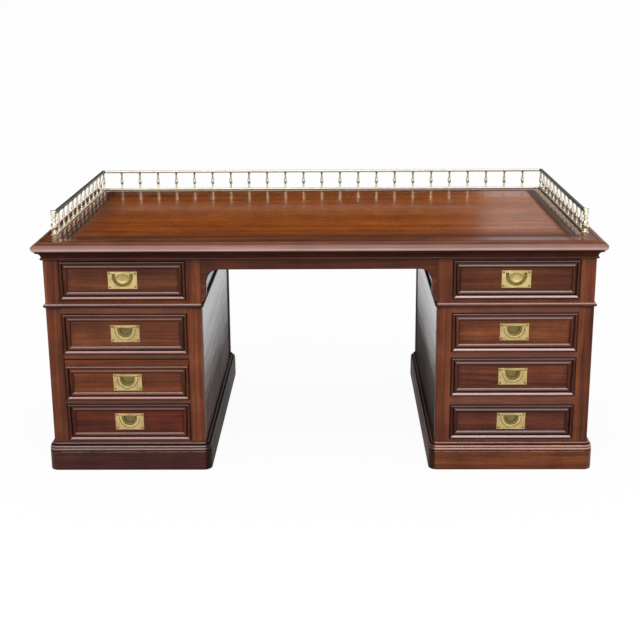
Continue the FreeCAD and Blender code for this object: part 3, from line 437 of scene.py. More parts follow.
def rail_tarnish_and_shade(finish):
    """Painted shade under the rails, tarnish on the upper sides and the right foot rail, and slight tarnish
    on the top rail.
    """
    x, y, z = finish.axes()
    side = abs(x) > (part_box("gallery_top_rail")[1].x - SIDE_RAIL_ZONE)
    upper = z > (top_level + RAIL_PARTING)
    under = finish.spread(finish.rise(), *RAIL_UNDERSIDE, RAIL_UNDER_SHADE, 0.0)
    sides = side * (upper * SIDE_TARNISH).most((x > 0) * RIGHT_FOOT_TARNISH)
    return sides.most(under).most(upper * TOP_RAIL_TARNISH)


def turning_tarnish_and_shade(finish):
    """Tarnish on the neck of the rear balusters, and painted shade on their upper ring, darkest under the top
    rail.
    """
    x, y, z = finish.axes()
    low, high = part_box("gallery_balusters")
    tall = high.z - low.z
    neck = finish.spread(z, low.z + tall * NECK_START, low.z + tall * NECK_FULL, 0.0, NECK_TARNISH)
    cap = finish.spread(z, high.z - CAP_START, high.z - CAP_FULL, 0.0, CAP_SHADE)
    return neck.most(cap) * (y > (high.y - REAR_ROW_ZONE))


def opening_shade_and_tone(rows):
    """Painted shadow in the joints round the openings and under the astragal, painted shade on the faces
    behind the front, and rails darker than stiles.
    """
    def grime_and_shade(finish, x, y, z):
        marks = None
        for low, high in rows:
            aside = abs(abs(x) - pedestal_middle) - (high.x - low.x) / 2
            apart = abs(z - (low.z + high.z) / 2) - (high.z - low.z) / 2
            mark = finish.spread(abs(aside.most(apart)), JOINT_CORE, JOINT_FADE, 1.0, 0.0)
            marks = mark if marks is None else marks.most(mark)
        under = finish.line(z, pedestal_head - ASTRAGAL_HEIGHT, UNDER_ASTRAGAL) * UNDER_ASTRAGAL_SHADE
        edge = finish.spread(abs(y), face - FACE_EDGE_DARK, face - FACE_EDGE_UNSHADED, FACE_EDGE_SHADE, 0.0)
        rail = (abs(abs(x) - pedestal_middle) < opening_half) * RAIL_DIRT
        return (marks * GAP_SHADOW).most(rail).most(under).most(edge)

    return grime_and_shade


def front_place(low, high, x, z):
    """How far in a place on a front lies from its sides and from its ends, and how far over its middle."""
    above = z - (low.z + high.z) / 2
    from_side = (high.x - low.x) / 2 - abs(x - (low.x + high.x) / 2)
    from_end = (high.z - low.z) / 2 - abs(above)
    return from_side, from_end, above


def front_shade(low, high, head):
    """Painted shade in the quirk and round the field of a moulded front, painted shadow in the gaps along its
    rim and its head, and the moulding darker than the field.
    """
    def grime_and_shade(finish, x, y, z):
        from_side, from_end, above = front_place(low, high, x, z)
        inset = from_side.least(from_end)
        lower_quirk = MOULD_QUIRK + LOWER_QUIRK_SHIFT
        quirk_line = finish.spread(above, -HALVES_STEP, HALVES_STEP, lower_quirk, MOULD_QUIRK)
        quirk = finish.spread(abs(inset - quirk_line), QUIRK_CORE, QUIRK_FADE, 1.0, 0.0)
        junction = finish.line(inset, FRAME_MOULD, JUNCTION_LINE)
        field = finish.spread(inset, FRAME_MOULD, FRAME_MOULD + FIELD_FADE, FIELD_SHADE, 0.0)
        field = field * (inset > FRAME_MOULD)
        edge = finish.line(inset, 0.0, RIM_LINE)
        broken = finish.patches(x, y, z, FRONT_PATCHES, FRONT_LEAST)
        moulding = (inset < FRAME_MOULD) * MOULDING_DARKNESS
        gap = finish.spread(abs(z - head), JOINT_CORE, JOINT_FADE, 1.0, 0.0)
        strip = finish.spread(inset, -STRIP_STEP, STRIP_STEP, STRIP_SHARE, 1.0)
        lines = quirk.most(junction).most(edge).most(field) * broken * FRONT_LINE_SHADE
        return lines.most(moulding * strip).most(gap)

    return grime_and_shade


def front_highlight(low, high):
    """Painted highlights on the level lengths of the frame, most on the lower bead and the upper crest."""
    def highlight_and_haze(finish, rise, x, z):
        from_side, from_end, above = front_place(low, high, x, z)
        inset = from_side.least(from_end)
        upper = above > 0
        lower_bead = finish.spread(rise, *LOWER_BEAD_TURN, 0.0, LOWER_BEAD_HIGHLIGHT) * (1 - upper)
        upper_bead = finish.spread(rise, *UPPER_BEAD_TURN, 0.0, UPPER_BEAD_HIGHLIGHT)
        bead = lower_bead.most(upper_bead) * (inset < MOULD_BEAD)
        crest = finish.line(inset, MOULD_CREST, CREST_LINE) * upper * CREST_HIGHLIGHT
        inner = finish.spread(rise, *INNER_TURN, 0.0, INNER_HIGHLIGHT) * (inset < FRAME_MOULD + INNER_LAP)
        level = from_side > from_end
        return bead.most(inner).most(crest) * finish.spread(inset, *UNLIT_RIM) * level

    return highlight_and_haze


def rail_paling(finish, rise, x, z):
    """A slight pale haze on the rails between the drawers, tinted toward the highlight tint."""
    return (abs(abs(x) - pedestal_middle) < opening_half) * RAIL_HAZE


def crown_highlight(share):
    """Painted highlight where a moulding turns upward."""
    def highlight_and_haze(finish, rise, x, z):
        return finish.spread(rise, *CROWN_TURN) * share

    return highlight_and_haze


def front_grain(low, high):
    """Level grain, turned upright in the two upright lengths of the moulded frame."""
    def grain(x, y, z):
        from_side, from_end, above = front_place(low, high, x, z)
        upright = (from_side < from_end) * (from_side < FRAME_MOULD)
        return turned_where(upright, grain_x(x, y, z), grain_z(x, y, z))

    return grain


def height_lines(levels, width):
    """Lines of painted shade at fixed heights, for the quirks of a level moulding."""
    def grime_and_shade(finish, x, y, z):
        marks = finish.line(z, levels[0], width)
        for level in levels[1:]:
            marks = marks.most(finish.line(z, level, width))
        return marks * finish.patches(x, y, z, LEVEL_PATCHES, LEVEL_LEAST) * LEVEL_LINE_SHADE

    return grime_and_shade


# Sections and meshes
SHARP_FROM, EASED_FROM, WELD_REACH = math.radians(32), math.radians(40), 0.00001
PANEL_ARRIS, BORDER_ARRIS, CORNICE_ARRIS = 0.0003, 0.0003, 0.0004
WALL_ARRIS, APRON_ARRIS, BAIL_ARRIS = 0.0006, 0.0010, 0.0012

# Steps that a round is made in
NOSE_STEPS, UNDERCUT_STEPS, COVE_STEPS, ASTRAGAL_STEPS = 18, 14, 14, 20
BEAD_STEPS, SMALL_BEAD_STEPS, CORNER_STEPS = 14, 12, 14
BRACKET_STEPS, APRON_STEPS, RAIL_STEPS = 12, 18, 5
FLARE_STEPS, RING_STEPS, BELLY_STEPS, NECK_STEPS = 6, 6, 10, 8
POST_RING_STEPS, POST_VASE_STEPS, POST_GROOVE_STEPS, POST_CAP_STEPS = 8, 14, 6, 8


def round_through(start, through, end, count):
    """Points on the circle through three points, after the start and up to the end."""
    (ax, ay), (bx, by), (cx, cy) = start, through, end
    d = 2 * (ax * (by - cy) + bx * (cy - ay) + cx * (ay - by))
    sa, sb, sc = ax * ax + ay * ay, bx * bx + by * by, cx * cx + cy * cy
    ux = (sa * (by - cy) + sb * (cy - ay) + sc * (ay - by)) / d
    uy = (sa * (cx - bx) + sb * (ax - cx) + sc * (bx - ax)) / d
    radius = math.hypot(ax - ux, ay - uy)
    first = math.atan2(ay - uy, ax - ux)
    turn = math.tau
    middle_angle = (math.atan2(by - uy, bx - ux) - first) % turn
    sweep = (math.atan2(cy - uy, cx - ux) - first) % turn
    if middle_angle > sweep:
        sweep -= turn
    angles = [first + sweep * step / count for step in range(1, count + 1)]
    return [(ux + radius * math.cos(a), uy + radius * math.sin(a)) for a in angles]


def quarter_oval(start, corner, end, count):
    """Points on a quarter oval that leaves the start and meets the end along the lines to the corner."""
    cx, cy = start[0] + end[0] - corner[0], start[1] + end[1] - corner[1]
    points = []
    for step in range(1, count + 1):
        angle = math.pi / 2 * step / count
        c, s = math.cos(angle), math.sin(angle)
        x = cx + (start[0] - cx) * c + (end[0] - cx) * s
        y = cy + (start[1] - cy) * c + (end[1] - cy) * s
        points.append((x, y))
    return points


def piece(name, mesh, finish, stands_for, arris=0.0, body="carcase"):
    """A new piece on its body, with eased arrises and smooth curves."""
    mesh.normal_update()
    data = bpy.data.meshes.new(name)
    bmesh.ops.recalc_face_normals(mesh, faces=mesh.faces)
    mesh.to_mesh(data)
    mesh.free()
    data.shade_smooth()
    data.set_sharp_from_angle(angle=SHARP_FROM)
    data.materials.append(finish)
    made = bpy.data.objects.new(name, data)
    scene.collection.objects.link(made)
    if arris > 0:
        ease(made, arris)
    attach(made, body)
    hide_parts(*stands_for)


def ease(thing, width, segments=2, weld=False):
    """Takes the sharpness off the arrises."""
    if weld:
        joined = thing.modifiers.new("joined", "WELD")
        joined.merge_threshold = WELD_REACH
    bevel = thing.modifiers.new("arris", "BEVEL")
    bevel.width = width
    bevel.segments = segments
    bevel.limit_method = "ANGLE"
    bevel.angle_limit = EASED_FROM


def prism(mesh, near, far):
    """A closed length between two outlines of the same number of points."""
    first = [mesh.verts.new(point) for point in near]
    last = [mesh.verts.new(point) for point in far]
    count = len(first)
    for step in range(count):
        following = (step + 1) % count
        mesh.faces.new((first[step], first[following], last[following], last[step]))
    mesh.faces.new(first)
    mesh.faces.new(list(reversed(last)))


def mitred_ring(mesh, section, half_x, half_y, middle_x=0.0):
    """Four mitred lengths round a rectangle: a section point is distance out and height."""
    corners = [(-1, -1), (1, -1), (1, 1), (-1, 1)]
    for turn in range(4):
        ends = []
        for sx, sy in (corners[turn], corners[(turn + 1) % 4]):
            ends.append([(middle_x + sx * (half_x + out), sy * (half_y + out), up) for out, up in section])
        prism(mesh, *ends)


def gallery_lengths(mesh, section, half_x, front, rear):
    """Three lengths of rail on the sides and the rear, mitred at the rear corners."""
    turns = [(-half_x, front, -1, 0), (-half_x, rear, -1, 1), (half_x, rear, 1, 1), (half_x, front, 1, 0)]
    rows = [[(x + sx * out, y + sy * out, up) for out, up in section] for x, y, sx, sy in turns]
    for near, far in zip(rows, rows[1:]):
        prism(mesh, near, far)


def toward(corner, neighbour, reach):
    """The point at that reach from one corner of a rectangle on the way to the next."""
    return tuple(a + reach * ((b > a) - (b < a)) for a, b in zip(corner, neighbour))


def rounded_bar(half, low, high, radius):
    """The section of a bar with its four edges rounded."""
    section = []
    corners = [(-half, low), (half, low), (half, high), (-half, high)]
    for turn, corner in enumerate(corners):
        start = toward(corner, corners[turn - 1], radius)
        end = toward(corner, corners[(turn + 1) % 4], radius)
        section += [start] + quarter_oval(start, corner, end, RAIL_STEPS)
    return section


def rounded_ring(mesh, section, half_x, half_y, radius, middle_x):
    """One moulding bent round a rectangle with rounded corners."""
    stations = []
    for turn, (sx, sy) in enumerate([(1, -1), (1, 1), (-1, 1), (-1, -1)]):
        for step in range(CORNER_STEPS + 1):
            angle = math.radians(-90 + 90 * turn + 90 * step / CORNER_STEPS)
            centre = (middle_x + sx * (half_x - radius), sy * (half_y - radius))
            stations.append((centre, math.cos(angle), math.sin(angle)))
    rows = []
    for (cx, cy), c, s in stations:
        points = [(cx + (radius + out) * c, cy + (radius + out) * s, up) for out, up in section]
        rows.append([mesh.verts.new(point) for point in points])
    count = len(section)
    for here, there in zip(rows, rows[1:] + rows[:1]):
        for step in range(count):
            following = (step + 1) % count
            mesh.faces.new((here[step], there[step], there[following], here[following]))


def turning(mesh, section, x, y, foot, count):
    """A turned piece on an upright axis, closed at foot and head: a section point is radius and height."""
    rows = []
    for radius, up in section:
        ring = []
        for step in range(count):
            angle = math.tau * step / count
            point = (x + radius * math.cos(angle), y + radius * math.sin(angle), foot + up)
            ring.append(mesh.verts.new(point))
        rows.append(ring)
    for here, there in zip(rows, rows[1:]):
        for step in range(count):
            following = (step + 1) % count
            mesh.faces.new((here[step], here[following], there[following], there[step]))
    mesh.faces.new(list(reversed(rows[0])))
    mesh.faces.new(rows[-1])


# Dirt and darkening on the top, and painted shade under the nose: widths and places in metres, in from an
# edge or out from the joint, and how dark it is
PANEL_FRONT_DARK, PANEL_FRONT_DARKNESS, PANEL_LEFT_DARK, PANEL_LEFT_DARKNESS = 0.11, 0.62, 0.12, 0.60
PANEL_JOINT, PANEL_JOINT_DIRT, MITRE_LINE, MITRE_DIRT = 0.014, 0.8, 0.0012, 0.6
BAND_EDGE, BAND_DIRT, LEFT_BAND_MORE = (0.024, 0.034), 0.62, 0.2
PALE_LINE_OUT, PALE_LINE, PALE_LINE_SHARE = 0.015, 0.004, 0.25
NOSE_LINE_SHIFT, NOSE_LINE, NOSE_LINE_DIRT = 0.001, 0.008, 0.5
NOSE_FOOT_DARK, NOSE_FOOT_UNSHADED, NOSE_FOOT_SHADE = 0.0300, 0.0265, 0.7

# Painted highlight on the nose: how far down each step reaches in metres and how pale it gets, then its end
# and patches
NOSE_HIGHLIGHT = [((0.0040, 0.0095), 0.13), ((0.0110, 0.0185), 0.29), ((0.0180, 0.0215), 0.58)]
NOSE_HIGHLIGHT_END, NOSE_PATCHES, NOSE_PATCHY, NOSE_LEAST = (0.0245, 0.0290), 5.0, (0.3, 0.6), 0.82

# Polish of the top: places in metres, each with the polish at its start and at its end
NOSE_POLISH_FOOT, NOSE_POLISH_HEAD, NOSE_POLISH = 0.014, 0.008, (0.45, 0.08)
GALLERY_POLISH_EDGE, RIGHT_GALLERY_POLISH, REAR_GALLERY_POLISH = (0.014, 0.030), 0.9, 0.95
BORDER_POLISH_PLACE, BORDER_POLISH = (0.25, 0.55), (0.70, 0.36)
LEVEL_FOOT, LEVEL_HEAD = 0.0008, 0.0002
PANEL_REAR_PLACE, PANEL_REAR_POLISH = (0.26, 0.33), (0.42, 0.9)
PANEL_RIGHT_PLACE, PANEL_RIGHT_POLISH = (0.42, 0.60), (1.0, 0.62)


def edge_line(x, y):
    """Distance outward from the joint between the top's panel and its border."""
    return (abs(x) - panel_high.x).most(abs(y) - panel_high.y)


def panel_darkening(finish, x, y, z):
    """A dark line along the joint with the border, and a slow darkening toward the front and left edges."""
    front = finish.spread(y, panel_low.y, panel_low.y + PANEL_FRONT_DARK, PANEL_FRONT_DARKNESS, 0.0)
    left = finish.spread(x, panel_low.x, panel_low.x + PANEL_LEFT_DARK, PANEL_LEFT_DARKNESS, 0.0)
    joint = finish.line(edge_line(x, y), 0.0, PANEL_JOINT) * PANEL_JOINT_DIRT
    return joint.most(front).most(left)


def border_dirt_and_shade(finish, x, y, z):
    """A dark inner band with a paler line in it, dark mitres, a line where the nose begins, and painted shade
    under the nose.
    """
    out = edge_line(x, y)
    band = finish.spread(out, *BAND_EDGE, BAND_DIRT, 0.0)
    band = band - finish.line(out, PALE_LINE_OUT, PALE_LINE) * PALE_LINE_SHARE
    band = band * (1 + LEFT_BAND_MORE * (x < panel_low.x))
    start = finish.line(out, BORDER_WIDTH - NOSE_RUN + NOSE_LINE_SHIFT, NOSE_LINE) * NOSE_LINE_DIRT
    mitre = finish.line((abs(x) - top_half_x) - (abs(y) - top_half_y), 0.0, MITRE_LINE) * MITRE_DIRT
    under = finish.spread(z, top_level - NOSE_FOOT_DARK, top_level - NOSE_FOOT_UNSHADED, NOSE_FOOT_SHADE, 0.0)
    return band.most(mitre).most(under).most(start)


def nose_highlight(finish, rise, x, z):
    """The nose is painted pale as a highlight, more and more from its upper arris to the turn at the foot."""
    down = top_level - z
    first, second, third = [finish.spread(down, *reach, 0.0, wear) for reach, wear in NOSE_HIGHLIGHT]
    patchy = finish.spread(finish.noise(x * NOSE_PATCHES, z, 0.0), *NOSE_PATCHY, NOSE_LEAST, 1.0)
    return (first + second + third) * finish.spread(down, *NOSE_HIGHLIGHT_END, 1.0, 0.0) * patchy


def border_coat(finish, x, y, z):
    """The polish of the border is thin on the nose and at the right end, and full along the gallery."""
    lower = finish.spread(z, top_level - NOSE_POLISH_FOOT, top_level - NOSE_POLISH_HEAD, *NOSE_POLISH)
    right = finish.spread(abs(x - gallery_side), *GALLERY_POLISH_EDGE, RIGHT_GALLERY_POLISH, 0.0)
    right = right * (y > gallery_front)
    rear = finish.spread(abs(y - gallery_rear), *GALLERY_POLISH_EDGE, REAR_GALLERY_POLISH, 0.0)
    level = finish.spread(x, *BORDER_POLISH_PLACE, *BORDER_POLISH).most(right).most(rear)
    return (finish.spread(z, top_level - LEVEL_FOOT, top_level - LEVEL_HEAD) * level).most(lower)


def panel_coat(finish, x, y, z):
    """The polish of the panel is fullest near the rear gallery, and thinner at the right end."""
    rear = finish.spread(y, *PANEL_REAR_PLACE, *PANEL_REAR_POLISH)
    return rear * finish.spread(x, *PANEL_RIGHT_PLACE, *PANEL_RIGHT_POLISH)


# Side boards: streaks per metre and their reach, and places in metres where the polish is, where shade is
# painted and where the boards are darker
STREAK_X, STREAK_Y, STREAK_Z, STREAK_REACH, RIGHT_SIDE_DROP = 3.0, 2.6, 50.0, 0.16, 0.05
LEFT_TO_RIGHT, SIDE_POLISH_RISE, SIDE_POLISH, OUTER_SIDE_LESS = (-0.1, 0.1), (0.22, 0.50), (0.85, 1.0), 0.6
SIDE_FOOT_PLACE, SIDE_FOOT_SHADE = (0.10, 0.34), 0.8
SIDE_REAR_START, SIDE_REAR_FULL, SIDE_REAR_DARKNESS = 0.110, 0.095, 0.95


def side_coat(finish, x, y, z):
    """The polish of the side boards is worn away in streaks near the floor, and thinner outside."""
    streak = finish.noise(x * STREAK_X, y * STREAK_Y, z * STREAK_Z, 3.0, 0.6) - 0.5
    height = z + streak * STREAK_REACH - (x > 0) * RIGHT_SIDE_DROP
    outer = abs(x) > pedestal_middle
    polish = finish.spread(height, *SIDE_POLISH_RISE) * finish.spread(x, *LEFT_TO_RIGHT, *SIDE_POLISH)
    return polish * (1 - outer * OUTER_SIDE_LESS)


def side_shade(finish, x, y, z):
    """In the kneehole the side boards are nearly black at the rear edge, and the right one has painted shade
    at its foot.
    """
    foot = finish.spread(z, *SIDE_FOOT_PLACE, SIDE_FOOT_SHADE, 0.0) * (x > 0)
    rear = finish.spread(y, face - SIDE_REAR_START, face - SIDE_REAR_FULL, 0.0, SIDE_REAR_DARKNESS)
    return rear.most(foot) * (abs(x) < pedestal_middle)


# Wood tones: dark, middle and light of the figure
TOP_TONES = ((103, 46, 5), (140, 67, 7), (162, 87, 16))
BORDER_TONES = ((70, 30, 13), (106, 53, 24), (139, 77, 35))
STILE_TONES = ((72, 32, 20), (114, 58, 34), (152, 86, 48))
RAIL_TONES = ((60, 27, 18), (94, 47, 30), (126, 68, 42))
PLINTH_TONES = {"left": ((48, 20, 15), (76, 36, 27), (101, 52, 37)),
                "right": ((74, 34, 19), (120, 62, 34), (153, 90, 49))}
CORNICE_TONES = ((53, 22, 17), (84, 40, 30), (112, 58, 41))
SIDE_TONES = ((40, 20, 15), (62, 33, 24), (88, 50, 34))
FRONT_TONES = {("left", 1): ((64, 30, 19), (102, 54, 34), (136, 78, 46)),
               ("left", 2): ((68, 32, 20), (112, 60, 37), (150, 86, 50)),
               ("left", 3): ((74, 34, 20), (122, 63, 36), (160, 88, 48)),
               ("left", 4): ((70, 28, 17), (116, 50, 29), (150, 72, 38)),
               ("right", 1): ((60, 28, 18), (97, 50, 31), (130, 73, 43)),
               ("right", 2): ((80, 38, 22), (130, 70, 41), (172, 100, 56)),
               ("right", 3): ((68, 30, 20), (113, 57, 36), (148, 80, 48)),
               ("right", 4): ((56, 24, 17), (94, 45, 30), (126, 66, 40))}
REAR_TONES = FRONT_TONES["left", 2]
# Tints of the painted highlights on the moulded fronts, for the left and the right pedestal
BEAD_HIGHLIGHT_TONES = {"left": (206, 157, 150), "right": (238, 202, 196)}

top_wood = polished_wood("top_panel_polish", grain_x, TOP_TONES, 3.1, gloss=0.25, coat=panel_coat,
                         grime_and_shade=panel_darkening, specular=0.04, coat_roughness=0.13)
border_wood = polished_wood("top_border_polish", grain_ring(top_half_x, top_half_y), BORDER_TONES, 7.7,
                            gloss=0.25, coat=border_coat, grime_and_shade=border_dirt_and_shade, highlight_and_haze=nose_highlight,
                            highlight_tone=(254, 206, 198), specular=0.04, coat_roughness=0.12)
frame_wood = {}
for side in ("left", "right"):
    rows = [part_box("%s_drawer_%d_front" % (side, number)) for number in (2, 3, 4)]
    frame_wood[side] = polished_wood(side + "_frame_polish", grain_frame, STILE_TONES, 1.9,
                                     grime_and_shade=opening_shade_and_tone(rows), highlight_and_haze=rail_paling)
frieze_rows = [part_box("right_drawer_1_front")]
frieze_wood = polished_wood("frieze_polish", grain_frame, STILE_TONES, 6.4, grime_and_shade=opening_shade_and_tone(frieze_rows))
door_wood = polished_wood("door_frame_polish", grain_frame, STILE_TONES, 2.8)
apron_wood = polished_wood("apron_polish", grain_x, RAIL_TONES, 5.3)
side_wood = polished_wood("side_board_polish", grain_z, SIDE_TONES, 9.2, gloss=0.45, coat=side_coat,
                          grime_and_shade=side_shade, ripple=5.0, specular=0.02)


# Astragal, cornice and plinths: lines of painted shade and edges in metres, and how dark their painted shade
# is or how pale their painted highlights are
KNEEHOLE_EDGE, BEAD_LINE, CORNICE_LINE = (-0.002, 0.004), 0.0022, 0.0026
ASTRAGAL_INNER_SHADE, ASTRAGAL_HIGHLIGHT, CORNICE_HIGHLIGHT = 0.95, 0.22, 0.1
PLINTH_INNER_SHADE, PLINTH_INNER_UNLIT, PLINTH_HIGHLIGHT, PLINTH_TURN = 0.85, 0.8, (0.36, 0.74), (0.02, 0.40)
FASCIA_LINE, FASCIA_UNLIT, LEDGE_UNLIT = 0.0005, 0.0022, (0.0004, 0.0020)
BEAD_JOINT, BEAD_JOINT_HIGHLIGHT = (0.0002, 0.0012), 0.4
HEAD_FOOT, HEAD_TOP, HEAD_HIGHLIGHT, TOP_BEAD_STEP, TOP_BEAD_HIGHLIGHT = 0.0045, 0.0015, 0.1, 0.001, 0.7


def in_kneehole(finish, x):
    """One on the parts of a moulding that stand out into the kneehole."""
    return finish.spread(abs(x) - kneehole_half, *KNEEHOLE_EDGE, 1.0, 0.0)


def astragal_shade(finish, x, y, z):
    """Painted shade in the quirks above and below the bead, and all over its lengths inside the kneehole."""
    levels = [pedestal_head, pedestal_head - ASTRAGAL_HEIGHT]
    quirks = height_lines(levels, BEAD_LINE)(finish, x, y, z)
    return quirks.most(in_kneehole(finish, x) * ASTRAGAL_INNER_SHADE)


def astragal_highlight(finish, rise, x, z):
    """The upper side of the bead gets a slight painted highlight, but not inside the kneehole."""
    return crown_highlight(ASTRAGAL_HIGHLIGHT)(finish, rise, x, z) * (1 - in_kneehole(finish, x))


pedestal_grain = grain_ring(pedestal_half, face, pedestal_middle)
astragal_wood = polished_wood("astragal_polish", pedestal_grain, RAIL_TONES, 4.4,
                              grime_and_shade=astragal_shade, highlight_and_haze=astragal_highlight, crown=0.8)
cornice_foot = top_underside - CORNICE_HEIGHT
cornice_levels = [top_underside, cornice_foot + CORNICE_BEAD, cornice_foot]
cornice_wood = polished_wood("cornice_polish", grain_ring(carcase_half, face), CORNICE_TONES, 6.5,
                             grime_and_shade=height_lines(cornice_levels, CORNICE_LINE),
                             highlight_and_haze=crown_highlight(CORNICE_HIGHLIGHT), crown=0.5, flank=0.0, specular=0.05)
bead_head = PLINTH_FASCIA + PLINTH_BEAD
upper_head = bead_head + PLINTH_UPPER_BEAD
plinth_head = upper_head + PLINTH_TOP_BEAD
plinth_levels = [PLINTH_FASCIA - FASCIA_LINE, PLINTH_FASCIA + FASCIA_LINE, bead_head, upper_head, plinth_head]


def plinth_shade(finish, x, y, z):
    """Painted shade in the quirks, and all over the lengths inside the kneehole."""
    quirks = height_lines(plinth_levels, BEAD_LINE)(finish, x, y, z)
    return quirks.most(in_kneehole(finish, x) * PLINTH_INNER_SHADE)


def plinth_highlight(finish, rise, x, z):
    """The beads of the plinth get painted highlights on their upper sides."""
    outside = 1 - in_kneehole(finish, x) * PLINTH_INNER_UNLIT
    ledge = finish.spread(abs(z - upper_head), *LEDGE_UNLIT)
    ledge = ledge * finish.spread(z, PLINTH_FASCIA, PLINTH_FASCIA + FASCIA_UNLIT)
    joint = finish.spread(abs(z - bead_head), *BEAD_JOINT, BEAD_JOINT_HIGHLIGHT, 1.0)
    head = finish.spread(z, plinth_head - HEAD_FOOT, plinth_head - HEAD_TOP, 1.0, HEAD_HIGHLIGHT)
    share = finish.spread(x, *LEFT_TO_RIGHT, *PLINTH_HIGHLIGHT)
    share = share * finish.spread(z, upper_head, upper_head + TOP_BEAD_STEP, 1.0, TOP_BEAD_HIGHLIGHT)
    return finish.spread(rise, *PLINTH_TURN) * share * outside * ledge * joint * head


plinth_wood = {}
for side, seed in (("left", 2.6), ("right", 8.3)):
    plinth_wood[side] = polished_wood(side + "_plinth_polish", pedestal_grain, PLINTH_TONES[side], seed,
                                      grime_and_shade=plinth_shade, highlight_and_haze=plinth_highlight)
lining_along = oak_lining("lining_oak_along", grain_y, 2.2)
plate_brass = rubbed_brass("handle_brass_rubbed", bright=(216, 190, 130), dull=(178, 150, 92), gloss=0.26,
                           seed=1.3, grime_and_shade=handle_patina_and_shade("left_drawer_2_handle"), dark_tone=(112, 98, 54),
                           metallic=0.65)
frieze_brass = rubbed_brass("frieze_handle_brass_rubbed", bright=(232, 210, 146), dull=(198, 172, 104),
                            gloss=0.34, seed=5.2, grime_and_shade=handle_patina_and_shade("left_drawer_1_handle", FRIEZE_DISH),
                            metallic=0.3)
# The frieze bails are a darker copy of the bail brass: painted shade, for bails lying in the shadow of their
# groove
frieze_bail_brass_painted_shade = rubbed_brass("frieze_bail_brass_painted_shade", bright=(150, 130, 70), dull=(104, 88, 44), gloss=0.30,
                                 seed=7.4)
fitting_brass = rubbed_brass("fitting_brass_rubbed", bright=(214, 190, 130), dull=(170, 140, 80), gloss=0.30,
                             seed=2.7)
bail_brass = rubbed_brass("bail_brass_rubbed", bright=(218, 200, 142), dull=(182, 158, 98), gloss=0.20,
                          seed=4.9)
# Near-white brass for the gallery: painted glare, a pale colour that stands in for strong highlights on the
# turnings and rails
gallery_brass_painted_glare = rubbed_brass("gallery_brass_rubbed_painted_glare", bright=(252, 249, 232), dull=(228, 218, 182), gloss=0.07,
                             seed=6.1, grime_and_shade=turning_tarnish_and_shade, dark_tone=(56, 54, 48), metallic=0.95)
rail_brass_painted_glare = rubbed_brass("gallery_rail_brass_painted_glare", bright=(254, 252, 240), dull=(238, 230, 204), gloss=0.10,
                          seed=3.7, grime_and_shade=rail_tarnish_and_shade, dark_tone=(30, 29, 25), metallic=0.65)

# Top border
section = [(-BORDER_WIDTH, top_underside), (-BORDER_WIDTH, top_level), (-NOSE_RUN, top_level)]
section += quarter_oval(section[-1], (0, top_level), (0, top_level - NOSE_DROP), NOSE_STEPS)
nose_foot = (-NOSE_UNDERCUT, top_underside)
section += quarter_oval(section[-1], (0, top_underside), nose_foot, UNDERCUT_STEPS)
mesh = bmesh.new()
mitred_ring(mesh, section, top_half_x, top_half_y)
piece("border_boards", mesh, border_wood, ["top_border"], arris=BORDER_ARRIS)

# Cornice under the top
section = [(0, cornice_foot), (COVE_FOOT_OUT, cornice_foot)]
bead_crown = (COVE_FOOT_OUT + CORNICE_BEAD / 2, cornice_foot + CORNICE_BEAD / 2)
cove_foot = (COVE_FOOT_OUT, cornice_foot + CORNICE_BEAD)
section += round_through(section[-1], bead_crown, cove_foot, BEAD_STEPS)
cove_top = top_underside - CORNICE_LIP
section += quarter_oval(section[-1], (COVE_FOOT_OUT, cove_top), (CORNICE_OUT, cove_top), COVE_STEPS)
section += [(CORNICE_OUT, top_underside), (0, top_underside)]
mesh = bmesh.new()
mitred_ring(mesh, section, carcase_half, face)
piece("cornice_lengths", mesh, cornice_wood, ["cornice_moulding"], arris=CORNICE_ARRIS)

# Astragal beads round the pedestal heads
bead_crown = (ASTRAGAL_OUT, pedestal_head - ASTRAGAL_HEIGHT / 2)
section = [(0, pedestal_head - ASTRAGAL_HEIGHT)]
section += round_through(section[0], bead_crown, (0, pedestal_head), ASTRAGAL_STEPS)
mesh = bmesh.new()
for middle in (-pedestal_middle, pedestal_middle):
    mitred_ring(mesh, section, pedestal_half, face, middle)
piece("astragal_lengths", mesh, astragal_wood, ["pedestal_astragals"])

# Plinths
bead_back = PLINTH_OUT - QUIRK
upper_back = bead_back - QUIRK
section = [(-PLINTH_LAP, 0), (PLINTH_OUT - PLINTH_EASE, 0), (PLINTH_OUT, PLINTH_EASE)]
section += [(PLINTH_OUT, PLINTH_FASCIA - PLINTH_EASE), (PLINTH_OUT - PLINTH_EASE, PLINTH_FASCIA)]
section.append((bead_back, PLINTH_FASCIA))
bead_crown = (PLINTH_OUT, PLINTH_FASCIA + PLINTH_BEAD / 2)
section += round_through(section[-1], bead_crown, (bead_back, bead_head), BEAD_STEPS)
swell = (bead_back + QUIRK / 2, bead_head + PLINTH_UPPER_BEAD / 2)
section += round_through(section[-1], swell, (upper_back, upper_head), SMALL_BEAD_STEPS)
section.append((PLINTH_TOP_OUT, upper_head))
top_crown = (PLINTH_TOP_OUT + PLINTH_TOP_SWELL, upper_head + PLINTH_TOP_BEAD / 2)
section += round_through(section[-1], top_crown, (PLINTH_TOP_OUT, plinth_head), SMALL_BEAD_STEPS)
section.append((-PLINTH_LAP, plinth_head))
for side, middle in (("left", -pedestal_middle), ("right", pedestal_middle)):
    mesh = bmesh.new()
    rounded_ring(mesh, section, pedestal_half, face, PLINTH_CORNER - PLINTH_OUT, middle)
    piece(side + "_plinth_moulding", mesh, plinth_wood[side], [side + "_plinth"])

